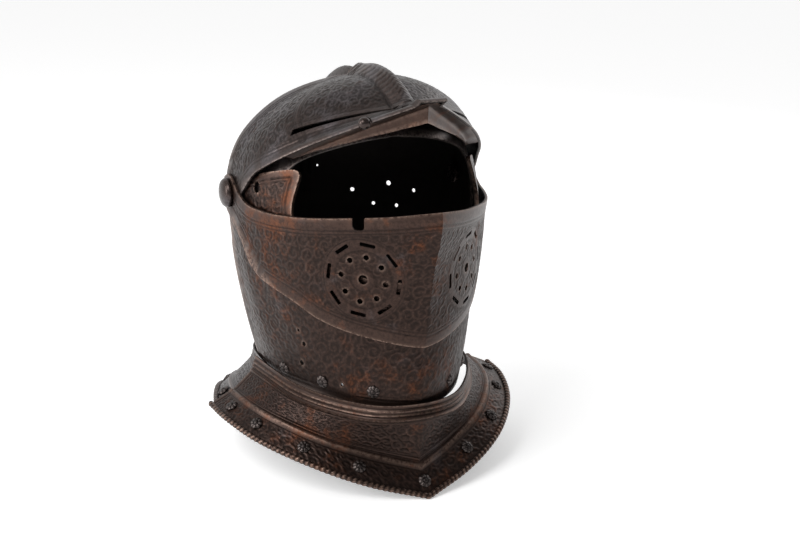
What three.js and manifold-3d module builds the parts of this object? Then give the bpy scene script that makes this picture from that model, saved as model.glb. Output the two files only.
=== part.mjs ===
// Close helmet of etched steel: skull with comb, visor, upper bevor and lower bevor on one pair of
// pivots, and a front and a rear gorget plate. Millimetres, +Z up, the face looks along -Y.
// The wearer's right is -X. The origin lies on the ground under the middle of the helmet.
import * as THREE from 'three';
import { mergeVertices } from 'three/addons/utils/BufferGeometryUtils.js';
import Module from 'manifold-3d';

const wasm = await Module();
wasm.setup();

// ---------------------------------------------------------------- driving dimensions
const PIVOT_HEIGHT = 214;        // pivot axis above the ground
const PIVOT_BACK = 22.2;         // pivot axis behind the middle of the helmet
const HALF_WIDTH = 104.6;        // outermost plate at the pivot, from the middle
const PLATE = 1.6;               // thickness of the steel
const LAYER_GAP = 0.5;           // between plates that lie over each other at the pivot
const FIT_GAP = 0.3;             // between a rivet and the plate under it
const BOLT_RADIUS = 4.1;
const BOLT_HOLE = 4.5;
const RONDEL_RADIUS = 11.5;
const RONDEL_HEIGHT = 6;
const COMB_HEIGHT = 9;           // of the skull's comb, above the dome
const COMB_HALF_WIDTH = 6;
const HOOD_HEIGHT = 9;           // of the visor's ridge, which passes over the comb
const HOOD_HALF_WIDTH = 9.5;
const LEDGE_ANGLE = 31.2;        // the visor's lower edge, raised, above the horizontal
const FLANGE_WIDTH = 13.6;        // of the strip turned in under the visor's edge
const RIM_RADIUS = 2.4;          // of the rolled rim of the gorget
const RIM_CENTRE = 1.9;          // height of the rim's centre where it rests on the ground
const RIVET_RADIUS = 4.2;
const RIVET_HEIGHT = 2.4;

const LAYER = PLATE + LAYER_GAP;
const UPPER_WIDTH = HALF_WIDTH;
const VISOR_WIDTH = UPPER_WIDTH - LAYER;
const LOWER_WIDTH = VISOR_WIDTH - LAYER;
const SKULL_WIDTH = LOWER_WIDTH - LAYER;
const TO_RADIANS = Math.PI / 180;
const SIDE_STEPS = 7;            // points of a plate's section from keel to pivot
const TURN_STEP = 12;            // degrees between sections about the pivot axis
const DRILL_DEPTH = 30;
const PROW = { reach: 162.7, slant: 0.22 };   // of the upper bevor's keel line

// ---------------------------------------------------------------- finishes
function steel(name, colour, roughness) {
  return new THREE.MeshStandardMaterial({ name, color: colour, roughness, metalness: 0.85 });
}
const PATINATED = steel('patinated_steel', 0x4a3f3c, 0.5);
const RUSTY = steel('rust_brown_steel', 0x55382a, 0.6);
const POLISHED = steel('worn_dark_steel', 0x37302e, 0.35);
const RIVET_STEEL = steel('rivet_steel', 0x302a28, 0.45);

// ---------------------------------------------------------------- solids
// Positions are given as (x, forward, up) from the middle of the pivot axis.
const at = (x, forward, up) => new THREE.Vector3(x, -forward, up);

function solid(points, faces) {
  let volume = 0;
  for (const [a, b, c] of faces) volume += points[a].dot(points[b].clone().cross(points[c]));
  const order = volume < 0 ? [0, 2, 1] : [0, 1, 2];
  const vertProperties = new Float32Array(points.flatMap((p) => p.toArray()));
  const triVerts = new Uint32Array(faces.flatMap((f) => order.map((k) => f[k])));
  return new wasm.Manifold(new wasm.Mesh({ numProp: 3, vertProperties, triVerts }));
}

function solidOf(geometry) {
  const bare = geometry.clone();
  bare.deleteAttribute('normal');
  bare.deleteAttribute('uv');
  const merged = mergeVertices(bare, 1e-4);
  return new wasm.Manifold(new wasm.Mesh({
    numProp: 3,
    vertProperties: new Float32Array(merged.attributes.position.array),
    triVerts: new Uint32Array(merged.index.array),
  }));
}

function geometryOf(manifold) {
  const mesh = manifold.getMesh();
  const stride = mesh.numProp;
  const count = mesh.vertProperties.length / stride;
  const positions = new Float32Array(count * 3);
  for (let i = 0; i < count; i += 1) {
    positions.set(mesh.vertProperties.subarray(i * stride, i * stride + 3), i * 3);
  }
  const geometry = new THREE.BufferGeometry();
  geometry.setAttribute('position', new THREE.BufferAttribute(positions, 3));
  geometry.setIndex(new THREE.BufferAttribute(new Uint32Array(mesh.triVerts), 1));
  geometry.computeVertexNormals();
  return geometry;
}

// A prism across the helmet whose side view is the given outline of [forward, up] points.
function acrossPrism(outline, xFrom = -150, xTo = 150) {
  const shape = new THREE.Shape(outline.map(([f, u]) => new THREE.Vector2(f, u)));
  const geometry = new THREE.ExtrudeGeometry(shape, { depth: xTo - xFrom, bevelEnabled: false });
  const basis = new THREE.Matrix4().makeBasis(
    new THREE.Vector3(0, -1, 0), new THREE.Vector3(0, 0, 1), new THREE.Vector3(-1, 0, 0));
  geometry.applyMatrix4(basis.setPosition(xTo, 0, 0));
  return solidOf(geometry);
}

// A geometry placed with its own Z along a direction.
function placed(geometry, position, direction) {
  const turn = new THREE.Quaternion().setFromUnitVectors(new THREE.Vector3(0, 0, 1), direction);
  return geometry.applyQuaternion(turn).translate(...position.toArray());
}

function drill(position, direction, radius, depth = DRILL_DEPTH, sides = 8) {
  const cylinder = new THREE.CylinderGeometry(radius, radius, depth, sides).rotateX(Math.PI / 2);
  return solidOf(placed(cylinder, position, direction));
}

// ---------------------------------------------------------------- forms about the pivot axis
// A form gives, for each direction about the pivot axis, the section of a plate from its keel to the
// pivot. A key is [degrees above forward, keel radius, set-back, crown, side]: the section is a
// Bezier curve from (radius, 0) by (radius - setBack, crown) and (side, width) to (0, width).
function keyValues(keys, degrees) {
  const count = keys.length;
  const wrapped = ((degrees - keys[0][0]) % 360 + 360) % 360 + keys[0][0];
  let i = count - 1;
  while (keys[i][0] > wrapped) i -= 1;
  const key = (k) => {
    const turn = Math.floor(k / count);
    const base = keys[((k % count) + count) % count];
    return [base[0] + 360 * turn, ...base.slice(1)];
  };
  const [before, start, end, after] = [key(i - 1), key(i), key(i + 1), key(i + 2)];
  const span = end[0] - start[0];
  const t = (wrapped - start[0]) / span;
  return start.slice(1).map((value, n) => {
    const slopeIn = (end[n + 1] - before[n + 1]) / (end[0] - before[0]) * span;
    const slopeOut = (after[n + 1] - value) / (after[0] - start[0]) * span;
    const rise = end[n + 1] - value;
    const bend = 3 * rise - 2 * slopeIn - slopeOut;
    return value + t * (slopeIn + t * (bend + t * (slopeIn + slopeOut - 2 * rise)));
  });
}

class Form {
  constructor(width, keys, extraAngles = []) {
    this.width = width;
    this.keys = keys;
    this.extraAngles = extraAngles;
  }

  // Position at a direction in degrees and t, which is 0 on the keel and 1 (or -1) on the pivot.
  point(degrees, t, inset = 0) {
    const [radius, setBack, crown, side] = keyValues(this.keys, degrees);
    const width = this.width - inset;
    const section = new THREE.CubicBezierCurve(
      new THREE.Vector2(radius - inset, 0), new THREE.Vector2(radius - inset - setBack, crown - inset / 2),
      new THREE.Vector2(side - inset / 2, width), new THREE.Vector2(0, width));
    const { x: reach, y: half } = section.getPoint(Math.abs(t));
    const angle = degrees * TO_RADIANS;
    return at(Math.sign(t) * half, reach * Math.cos(angle), reach * Math.sin(angle));
  }

  // Outward direction at a point of the form.
  normal(degrees, t) {
    const step = 0.01;
    const along = this.point(degrees + 1, t).sub(this.point(degrees - 1, t));
    const across = this.point(degrees, t + step).sub(this.point(degrees, t - step));
    const normal = along.cross(across).normalize();
    return normal.dot(this.point(degrees, t)) < 0 ? normal.negate() : normal;
  }

  // The whole closed body of the form, set in by the given amount.
  body(inset = 0) {
    const angles = [];
    for (let a = 0; a < 360; a += TURN_STEP) angles.push(a);
    for (const extra of this.extraAngles) angles.push(((extra % 360) + 360) % 360);
    const sorted = [...new Set(angles)].sort((a, b) => a - b);
    const sections = [];
    for (let k = 1; k < 2 * SIDE_STEPS; k += 1) sections.push(1 - k / SIDE_STEPS);
    const points = [this.point(0, 1, inset), this.point(0, -1, inset)];
    for (const angle of sorted) for (const t of sections) points.push(this.point(angle, t, inset));
    const rows = sorted.length;
    const columns = sections.length;
    const index = (i, j) => 2 + (i % rows) * columns + j;
    const faces = [];
    for (let i = 0; i < rows; i += 1) {
      faces.push([0, index(i, 0), index(i + 1, 0)]);
      faces.push([1, index(i + 1, columns - 1), index(i, columns - 1)]);
      for (let j = 0; j < columns - 1; j += 1) {
        faces.push([index(i, j), index(i, j + 1), index(i + 1, j + 1)]);
        faces.push([index(i, j), index(i + 1, j + 1), index(i + 1, j)]);
      }
    }
    return solid(points, faces);
  }

  // The steel between the form and its inside, cut to a side outline.
  shell(outline) {
    return this.body().subtract(this.body(PLATE)).intersect(acrossPrism(outline));
  }
}

const keelRadius = (degrees) => {
  const angle = degrees * TO_RADIANS;
  return PROW.reach / (Math.cos(angle) - PROW.slant * Math.sin(angle));
};

const upperForm = new Form(UPPER_WIDTH, [
  [-150, 130, 0, 60, 80], [-110, 190, 0, 66, 98], [-90, 190, 0, 66, 97], [-60, 190, 4, 58, 90],
  [-34.5, keelRadius(-34.5), 6, 45, 80], [-23, keelRadius(-23), 18, 48, 78],
  [-12, keelRadius(-12), 32, 53, 76], [4.5, keelRadius(4.5), 43, 59, 75],
  [40, 140, 40, 58, 78], [90, 120, 0, 58, 80], [150, 120, 0, 58, 80],
]);
const lowerForm = new Form(LOWER_WIDTH, [
  [-135, 170, 0, 60, 76], [-110, 230, 0, 67, 92], [-90, 240, 0, 67, 92], [-75, 240, 0, 69, 89],
  [-60, 236, 0, 46, 86], [-45, 195.5, 6, 40, 84], [-34.5, 168, 6, 42, 78], [-20, 156, 20, 44, 74],
  [-5, 140, 14, 48, 67], [12, 118, 0, 50, 60], [40, 112, 0, 50, 56], [90, 105, 0, 50, 54],
  [150, 110, 0, 52, 54],
]);
const skullForm = new Form(SKULL_WIDTH, [
  [-158, 107, 0, 54, 54], [-138, 119, 0, 55, 60], [-118, 157, 0, 50, 68], [-105, 200, 0, 57, 76],
  [-90, 235, 0, 62, 80], [-60, 232, 0, 38, 76], [-30, 150, 0, 45, 70], [0, 110, 0, 50, 56],
  [35, 99, 0, 53, 54], [46, 93, 0, 52, 52], [60, 86.5, 0, 51, 50], [90, 86, 0, 51, 50], [120, 84, 0, 51, 50],
  [150, 90, 0, 51, 50], [180, 100, 0, 52, 52],
]);
const visorForm = new Form(VISOR_WIDTH, [
  [-110, 200, 0, 62, 95], [-90, 200, 0, 60, 94], [-45, 170, 10, 58, 88], [0, 160, 30, 57, 74],
  [26, 172, 57, 59, 76], [32, 172, 57, 59, 76], [34.5, 148, 34, 58, 75], [37.5, 130, 10, 57, 72],
  [45, 121, 4, 56, 69], [55, 113, 0, 55, 65],
  [65, 104, 0, 54, 61], [80, 92, 0, 53, 58], [120, 92, 0, 53, 61], [200, 130, 0, 56, 84],
], [32, 33.2, 34.5, 36, 37.5, 31]);

// A comb along the keel, from its section's [height, half width] points, as fractions. Its foot is
// sunk into the plate.
const COMB_SECTION = [[-0.6, 1.15], [0.05, 1], [0.5, 0.72], [0.85, 0.42], [1, 0.12]];
const COMB_ROOT = 10;
const COMB_STEP = 6;             // degrees
function comb(radiusAt, heightAt, halfWidth, from, to, inset = 0) {
  const steps = Math.round((to - from) / COMB_STEP);
  const across = [...COMB_SECTION, ...COMB_SECTION.map(([h, w]) => [h, -w]).reverse()];
  const points = [];
  for (let i = 0; i <= steps; i += 1) {
    const degrees = from + (to - from) * i / steps;
    const angle = degrees * TO_RADIANS;
    for (const [h, w] of across) {
      const radius = radiusAt(degrees) + (h > 0 ? h * heightAt(degrees) - inset : h * COMB_ROOT);
      const half = w * halfWidth - Math.sign(w) * Math.min(inset, Math.abs(w * halfWidth) * 0.7);
      points.push(at(half, radius * Math.cos(angle), radius * Math.sin(angle)));
    }
  }
  return solid(points, sweptFaces(steps, across.length));
}

// Faces of a ring of points swept through a number of steps, with both ends closed.
function sweptFaces(steps, around) {
  const faces = [];
  for (let i = 0; i < steps; i += 1) {
    for (let j = 0; j < around; j += 1) {
      const next = (j + 1) % around;
      faces.push([i * around + j, i * around + next, (i + 1) * around + next]);
      faces.push([i * around + j, (i + 1) * around + next, (i + 1) * around + j]);
    }
  }
  const last = steps * around;
  for (let j = 1; j < around / 2; j += 1) {
    const k = around - j;
    faces.push([j - 1, k, j], [last + j - 1, last + j, last + k]);
    faces.push([k, k - 1, j], [last + k, last + j, last + k - 1]);
  }
  return faces;
}

const keelOf = (form) => (degrees) => keyValues(form.keys, degrees)[0];

function ring(radius, steps, from = 0, to = 360) {
  const points = [];
  for (let i = 0; i <= steps; i += 1) {
    const angle = (from + (to - from) * i / steps) * TO_RADIANS;
    points.push([radius * Math.cos(angle), radius * Math.sin(angle)]);
  }
  return points;
}

function pivotHoles() {
  return drill(at(0, 0, 0), new THREE.Vector3(1, 0, 0), BOLT_HOLE, 300, 20);
}

// ---------------------------------------------------------------- plates
const mirrored = [-1, 1];

// Holes behind each ear and, on the left only, beside the comb: [degrees, t, radius].
const EAR_HOLES = [
  [198, 0.27, 2.2], [197, 0.485, 2.8], [206.5, 0.64, 2.4], [207.5, 0.385, 2.1], [213, 0.52, 2.1],
];
const COMB_HOLE = [184, 0.07, 1.4];

function skull() {
  const outline = [
    [97, 70], [84, 52], [60, 34], [46, 8], [40, -40], [38, -100], [37, -143], [-130, -141], [-130, 150],
    [60, 150],
  ];
  const fade = (degrees) => Math.sin(Math.PI * Math.min(1, Math.max(0, (degrees - 34) / 162))) ** 0.7;
  const height = (degrees) => COMB_HEIGHT * Math.max(0.08, fade(degrees));
  const outer = comb(keelOf(skullForm), height, COMB_HALF_WIDTH, 36, 190);
  const cavity = comb(keelOf(skullForm), height, COMB_HALF_WIDTH, 44, 182, PLATE);
  let plate = skullForm.body().add(outer).subtract(skullForm.body(PLATE)).subtract(cavity);
  plate = plate.intersect(acrossPrism(outline)).subtract(pivotHoles());
  const holes = [COMB_HOLE, ...EAR_HOLES, ...EAR_HOLES.map(([degrees, t, radius]) => [degrees, -t, radius])];
  for (const [degrees, t, radius] of holes) {
    plate = plate.subtract(drill(skullForm.point(degrees, t), skullForm.normal(degrees, t), radius));
  }
  return plate;
}

// The slits for the eyes stop short of the ridge on each side.
const SLIT = [[61.5, 54.5], [108, 79.6], [107.6, 81], [60, 58.8]];
const SLIT_BRIDGE = 5.5;
const SLIT_END = 110;

// The flange under the visor's edge turns down into a skirt, deepest at the ridge.
const SKIRT = [[73, 44], [164, 88.5], [162.5, 98.6]];
const SKIRT_INSET = FLANGE_WIDTH - PLATE;

function visor() {
  const outline = [
    ...ring(14.5, 9, 150, 345), [28, 10.5], [38, 22.5],
    [190 * Math.cos(LEDGE_ANGLE * TO_RADIANS), 190 * Math.sin(LEDGE_ANGLE * TO_RADIANS)],
    [190, 150], [19, 150], [17, 96], [2, 76], [-11, 40],
  ];
  const hoodHeight = (degrees) => HOOD_HEIGHT * Math.min(1, Math.max(0.05, (degrees - 33) / 5));
  let plate = visorForm.body().add(comb(keelOf(visorForm), hoodHeight, HOOD_HALF_WIDTH, 35, 101));
  plate = plate.subtract(visorForm.body(PLATE));
  plate = plate.subtract(comb(keelOf(visorForm), hoodHeight, HOOD_HALF_WIDTH, 41, 107, PLATE));
  plate = plate.intersect(acrossPrism(outline));
  const strip = (from, to) => [[80, from], [190, from], [190, to], [80, to]].map(([r, degrees]) => [
    r * Math.cos(degrees * TO_RADIANS), r * Math.sin(degrees * TO_RADIANS)]);
  const flange = visorForm.body(0.4).subtract(visorForm.body(FLANGE_WIDTH));
  const skirt = visorForm.body(SKIRT_INSET).subtract(visorForm.body(SKIRT_INSET + PLATE));
  plate = plate.add(flange.intersect(acrossPrism(strip(LEDGE_ANGLE, LEDGE_ANGLE + 0.8))));
  plate = plate.add(skirt.intersect(acrossPrism(SKIRT)));
  for (const side of mirrored) {
    const ends = [side * SLIT_BRIDGE, side * SLIT_END].sort((a, b) => a - b);
    plate = plate.subtract(acrossPrism(SLIT, ...ends));
  }
  return plate.subtract(pivotHoles());
}

// The breath rosette on each side: a ring of holes within a ring of slots.
const ROSETTE = {
  degrees: -19.4, t: 0.29, count: 8, turn: 8, centre: 3.6, hole: 2.1, holeCircle: 17.3,
  slotWidth: 3.2, slotLength: 12, slotCircle: 27.3,
};
const NOTCH = { degrees: 0, t: -0.3, width: 9.4, height: 20, rise: 4.5 };

function upperBevor() {
  const outline = [
    ...ring(15, 8, 60, 235), [6, -21], [22.4, -34], [27, -47], [37, -57], [51, -62], [61, -65],
    [75, -69.5], [92, -80], [109, -86], [124, -90], [136, -93.5], [146, -99], [190, -110], [190, 20],
    [166, 13.2], [142, 6.6], [115, 2], [90, -2], [62, -4], [35, -3.2], [21, 3],
  ];
  let plate = upperForm.shell(outline).subtract(pivotHoles());
  for (const side of mirrored) {
    const centre = upperForm.point(ROSETTE.degrees, side * ROSETTE.t);
    const normal = upperForm.normal(ROSETTE.degrees, side * ROSETTE.t);
    const right = new THREE.Vector3(0, 0, 1).cross(normal).normalize();
    const up = normal.clone().cross(right);
    plate = plate.subtract(drill(centre, normal, ROSETTE.centre, DRILL_DEPTH, 12));
    for (let k = 0; k < ROSETTE.count; k += 1) {
      const angle = (side * ROSETTE.turn + k * 360 / ROSETTE.count) * TO_RADIANS;
      const radial = right.clone().multiplyScalar(Math.cos(angle)).addScaledVector(up, Math.sin(angle));
      const hole = centre.clone().addScaledVector(radial, ROSETTE.holeCircle);
      plate = plate.subtract(drill(hole, normal, ROSETTE.hole, DRILL_DEPTH, 6));
      const basis = new THREE.Matrix4().makeBasis(radial, normal.clone().cross(radial), normal);
      basis.setPosition(centre.clone().addScaledVector(radial, ROSETTE.slotCircle));
      const slot = new THREE.BoxGeometry(ROSETTE.slotWidth, ROSETTE.slotLength, DRILL_DEPTH);
      plate = plate.subtract(solidOf(slot.applyMatrix4(basis)));
    }
  }
  const facing = upperForm.normal(NOTCH.degrees, NOTCH.t);
  const notch = new THREE.BoxGeometry(NOTCH.width, DRILL_DEPTH, NOTCH.height);
  notch.rotateZ(Math.atan2(facing.x, -facing.y));
  notch.translate(...upperForm.point(NOTCH.degrees, NOTCH.t).toArray()).translate(0, 0, NOTCH.rise);
  return plate.subtract(solidOf(notch));
}

// Lacing and lining holes of the lower bevor, on the wearer's right: [degrees, t, radius].
const LACING_HOLES = [
  [-54, 0.545, 2.4], [-60, 0.53, 2.4], [-52, 0.38, 1.6], [-41, 0.045, 2], [-42.8, 0.012, 2.1],
];
const CHEEK_HOLE = { degrees: 17, t: 0.78, radius: 3.6 };

function lowerBevor() {
  const outline = [
    ...ring(15, 6, 80, 200), [-12, -60], [-6, -100], [-2, -144], [60, -145], [190, -147], [190, -60],
    [160, -46], [125, -45], [98, -38], [80, -22], [71, 0], [72, 31], [54, 27], [22, 17.5],
  ];
  let plate = lowerForm.shell(outline).subtract(pivotHoles());
  for (const [degrees, t, radius] of LACING_HOLES) {
    plate = plate.subtract(drill(lowerForm.point(degrees, -t), lowerForm.normal(degrees, -t), radius));
  }
  for (const side of mirrored) {
    const centre = lowerForm.point(CHEEK_HOLE.degrees, side * CHEEK_HOLE.t);
    const normal = lowerForm.normal(CHEEK_HOLE.degrees, side * CHEEK_HOLE.t);
    plate = plate.subtract(drill(centre, normal, CHEEK_HOLE.radius));
  }
  return plate;
}

// ---------------------------------------------------------------- gorget
// Half curves of [x, forward, up] from the middle of the front or the rear to the side.
const RIM_ON_GROUND = RIM_CENTRE - PIVOT_HEIGHT;
const FRONT = {
  collar: [
    [0, 141.5, -141], [31, 130, -142.5], [57, 102, -142], [74.5, 70, -140], [82, 38, -137.5],
    [86.2, 8, -136],
  ],
  base: [
    [0, 142.5, -152], [32, 132, -154], [59, 103, -154], [78, 70, -151], [86, 38, -148],
    [90.4, 9, -147],
  ],
  border: [
    [0, 137.5, -191.5], [34.4, 121.5, -183], [66, 102, -173.5], [91.5, 71.5, -164], [102.5, 42, -161],
    [106.5, 10, -160.5],
  ],
  rim: [
    [0, 155, RIM_ON_GROUND], [42.7, 140, -201], [80, 117, -188], [110, 79, -177.5], [123.5, 42, -171],
    [126.5, 12, -169.5],
  ],
};
const REAR = {
  collar: [
    [0, -79, -140], [30, -73, -140], [58, -51, -139], [77.4, -22, -138], [82.4, 10, -137.5],
    [82.6, 22, -137.5],
  ],
  base: [
    [0, -83, -151], [32, -77, -151], [59, -54, -150], [79.2, -22, -149], [86.2, 10, -149],
    [86.6, 22, -149],
  ],
  border: [
    [0, -102, -189], [40, -95, -188], [71, -72, -177], [92, -38, -169], [101.6, 2, -165.8],
    [102, 20, -165.8],
  ],
  rim: [
    [0, -119, RIM_ON_GROUND], [46, -112, RIM_ON_GROUND], [78, -86, -194], [101, -47, -179.5],
    [118, 2, -175.2],
    [119.5, 20, -175.6],
  ],
};
// Columns of the plate's section: [from curve, to curve, fraction, lift]. The lifts make the lip and
// the raised mouldings.
const COLUMNS = [
  ['collar', 'base', 0, 0.8], ['collar', 'base', 0.25, 0], ['collar', 'base', 0.8, 0],
  ['base', 'border', 0, 1.6], ['base', 'border', 0.09, 0], ['base', 'border', 0.4, -0.6],
  ['base', 'border', 0.75, -0.6], ['base', 'border', 0.97, 0], ['border', 'rim', 0.1, 1.5],
  ['border', 'rim', 0.22, 0], ['border', 'rim', 1, 0],
];
const GORGET_STEPS = 11;

class Gorget {
  constructor(curves, sharp) {
    this.halves = {};
    for (const [name, list] of Object.entries(curves)) {
      const half = list.map(([x, f, u]) => at(x, f, u));
      const before = list.slice(1, 2).map(([x, f, u]) => at(-x, f, u));
      const keeled = sharp && (name === 'border' || name === 'rim');
      this.halves[name] = {
        curve: new THREE.CatmullRomCurve3(keeled ? half : [...before, ...half]),
        lead: keeled ? 0 : 1,
        segments: list.length - 1,
      };
    }
  }

  // Base position at s, from -1 at the right end by 0 in the middle to 1 at the left end.
  base(s, column) {
    const [first, second, fraction] = COLUMNS[column];
    const spot = (name) => {
      const { curve, lead, segments } = this.halves[name];
      return curve.getPoint((lead + Math.abs(s) * segments) / (lead + segments));
    };
    const point = spot(first).lerp(spot(second), fraction);
    if (s < 0) point.x = -point.x;
    return point;
  }

  normal(s, column) {
    const low = Math.max(0, column - 1);
    const high = Math.min(COLUMNS.length - 1, column + 1);
    const down = this.base(s, high).sub(this.base(s, low));
    const along = this.base(Math.min(1, s + 0.02), column).sub(this.base(Math.max(-1, s - 0.02), column));
    const normal = down.cross(along).normalize();
    return normal.z < 0 && Math.abs(normal.z) > 0.3 ? normal.negate() : this.outward(normal, s, column);
  }

  outward(normal, s, column) {
    const away = this.base(s, column);
    away.y += 30;
    away.z = 0;
    return normal.dot(away) < 0 ? normal.negate() : normal;
  }

  outer(s, column) {
    return this.base(s, column).addScaledVector(this.normal(s, column), COLUMNS[column][3]);
  }

  // The plate with its rolled rim, flat where it stands on the ground.
  plate() {
    const rows = 2 * GORGET_STEPS;
    const ringSize = 2 * COLUMNS.length;
    const points = [];
    for (let i = 0; i <= rows; i += 1) {
      const s = i / GORGET_STEPS - 1;
      const outer = COLUMNS.map((_, c) => this.outer(s, c));
      const inner = COLUMNS.map((_, c) => outer[c].clone().addScaledVector(this.normal(s, c), -PLATE));
      points.push(...outer, ...inner.reverse());
    }
    const rimPath = [];
    for (let i = 0; i <= rows; i += 1) rimPath.push(this.base(i / GORGET_STEPS - 1, COLUMNS.length - 1));
    const section = new THREE.Shape(ring(RIM_RADIUS, 8).slice(0, 8).map(([a, b]) => new THREE.Vector2(a, b)));
    const path = new THREE.CatmullRomCurve3(rimPath, false, 'catmullrom', 0.1);
    const rim = new THREE.ExtrudeGeometry(section, { steps: rows, extrudePath: path, bevelEnabled: false });
    const ground = acrossPrism([[-300, -PIVOT_HEIGHT], [300, -PIVOT_HEIGHT], [300, 0], [-300, 0]], -200, 200);
    return solid(points, sweptFaces(rows, ringSize)).add(solidOf(rim)).intersect(ground);
  }
}
const frontGorget = new Gorget(FRONT, true);
const rearGorget = new Gorget(REAR, false);

// ---------------------------------------------------------------- rivets, pivots and peg
function rivet(position, direction) {
  const foot = FIT_GAP;
  const profile = [[0, foot], [RIVET_RADIUS, foot], [RIVET_RADIUS * 0.96, foot + 0.8]];
  profile.push([RIVET_RADIUS * 0.6, foot + RIVET_HEIGHT * 0.82]);
  profile.push([0, foot + RIVET_HEIGHT]);
  const lathe = new THREE.LatheGeometry(profile.map(([r, h]) => new THREE.Vector2(r, h)), 9);
  return placed(lathe.rotateX(Math.PI / 2), position, direction);
}

function pivot(side) {
  const inside = SKULL_WIDTH - PLATE - 1.2;
  const outside = UPPER_WIDTH + FIT_GAP;
  const profile = [
    [0, inside - 3], [8, inside - 3], [8, inside], [BOLT_RADIUS, inside], [BOLT_RADIUS, outside],
    [RONDEL_RADIUS, outside], [RONDEL_RADIUS, outside + 1.6],
  ];
  for (let k = 1; k < 5; k += 1) {
    const angle = k * 18 * TO_RADIANS;
    profile.push([RONDEL_RADIUS * Math.cos(angle), outside + 1.6 + (RONDEL_HEIGHT - 1.6) * Math.sin(angle)]);
  }
  profile.push([0, outside + RONDEL_HEIGHT]);
  const lathe = new THREE.LatheGeometry(profile.map(([r, h]) => new THREE.Vector2(r, h)), 18);
  return lathe.rotateZ(side * -Math.PI / 2);
}

function peg() {
  const profile = [[0, 1.2], [3, 1.2], [2.2, 2.2], [2.2, 3.4]];
  for (let k = -2; k < 5; k += 1) {
    const angle = k * 18 * TO_RADIANS;
    profile.push([4.6 * Math.cos(angle), 7.4 + 4.6 * Math.sin(angle)]);
  }
  profile.push([0, 12]);
  const lathe = new THREE.LatheGeometry(profile.map(([r, h]) => new THREE.Vector2(r, h)), 12);
  const spot = { degrees: 31.8, t: -0.22 };
  const outward = visorForm.normal(29, spot.t).setZ(0).normalize();
  return placed(lathe.rotateX(Math.PI / 2), visorForm.point(spot.degrees, spot.t), outward);
}

// ---------------------------------------------------------------- the helmet
const helmet = new THREE.Group();
helmet.position.set(0, PIVOT_BACK, PIVOT_HEIGHT);

function addPart(name, geometry, material) {
  const mesh = new THREE.Mesh(geometry, material);
  mesh.name = name;
  helmet.add(mesh);
}

addPart('skull', geometryOf(skull()), PATINATED);
addPart('visor', geometryOf(visor()), PATINATED);
addPart('upper_bevor', geometryOf(upperBevor()), RUSTY);
addPart('lower_bevor', geometryOf(lowerBevor()), RUSTY);
addPart('front_gorget', geometryOf(frontGorget.plate()), RUSTY);
addPart('rear_gorget', geometryOf(rearGorget.plate()), PATINATED);
addPart('lifting_peg', peg(), POLISHED);
addPart('pivot_right', pivot(-1), POLISHED);
addPart('pivot_left', pivot(1), POLISHED);

const FLANGE_COLUMN = COLUMNS.length - 2;
function flangeRivets(gorget, name, places) {
  places.forEach((s, k) => {
    const inner = gorget.outer(s, FLANGE_COLUMN);
    const spot = inner.lerp(gorget.outer(s, FLANGE_COLUMN + 1), 0.42);
    const direction = gorget.normal(s, FLANGE_COLUMN).add(gorget.normal(s, FLANGE_COLUMN + 1)).normalize();
    addPart(`${name}_${k + 1}`, rivet(spot, direction), RIVET_STEEL);
  });
}
flangeRivets(frontGorget, 'front_rivet', [-0.86, -0.66, -0.45, -0.24, 0, 0.24, 0.45, 0.66, 0.86]);
flangeRivets(rearGorget, 'rear_rivet', [-0.72, -0.5, -0.25, 0, 0.25, 0.5, 0.72]);

function neckRivets(form, name, places, level) {
  places.forEach(([forward, side], k) => {
    const degrees = Math.atan2(level, forward) / TO_RADIANS;
    const reach = Math.hypot(level, forward);
    let t = 0;
    while (t < 1 && Math.hypot(...form.point(degrees, t).toArray().slice(1)) > reach) t += 0.002;
    const spot = form.point(degrees, side * t);
    addPart(`${name}_${k + 1}`, rivet(spot, form.normal(degrees, side * t)), RIVET_STEEL);
  });
}
const NECK_FRONT = [[50, -1], [88, -1], [122, -1], [122, 1], [88, 1], [50, 1]];
neckRivets(lowerForm, 'neck_rivet', NECK_FRONT, -134);

export default helmet;
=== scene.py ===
"""Close helmet of etched dark steel: skull, visor, two bevor plates and two gorget plates.

Every plate is a fine sheet swept from the section rule of its form, cut to its outline, pierced,
tooled with scroll foliage and given its thickness. Rivets and the roped rim are Geometry Nodes.
Positions are millimetres from the middle of the pivot axis until a mesh is made.
"""
import logging
import math
from collections.abc import Callable
from dataclasses import dataclass, field as data_field
from enum import Enum

import bmesh
import bpy
import numpy as np
from mathutils import Matrix, Vector


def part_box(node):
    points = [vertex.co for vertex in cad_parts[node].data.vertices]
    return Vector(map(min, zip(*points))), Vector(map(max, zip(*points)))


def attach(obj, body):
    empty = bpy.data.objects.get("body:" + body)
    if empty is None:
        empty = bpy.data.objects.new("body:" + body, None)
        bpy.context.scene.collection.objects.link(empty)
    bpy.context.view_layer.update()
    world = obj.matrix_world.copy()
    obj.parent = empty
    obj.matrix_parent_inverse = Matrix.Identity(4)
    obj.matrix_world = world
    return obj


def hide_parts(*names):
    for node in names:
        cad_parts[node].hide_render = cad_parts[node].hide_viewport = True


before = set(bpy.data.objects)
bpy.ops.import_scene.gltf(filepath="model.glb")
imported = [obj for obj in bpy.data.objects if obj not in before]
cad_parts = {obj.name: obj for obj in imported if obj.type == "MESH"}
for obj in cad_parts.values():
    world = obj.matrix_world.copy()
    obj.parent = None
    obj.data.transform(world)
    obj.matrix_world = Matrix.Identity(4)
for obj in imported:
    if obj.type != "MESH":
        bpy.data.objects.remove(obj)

LOG = logging.getLogger("close_helmet")
PIVOT = np.array([0.0, 22.2, 214.0])
PLATE = 1.6
LAYER = 2.1
UPPER_WIDTH = 104.6
VISOR_WIDTH = UPPER_WIDTH - LAYER
LOWER_WIDTH = VISOR_WIDTH - LAYER
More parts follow.
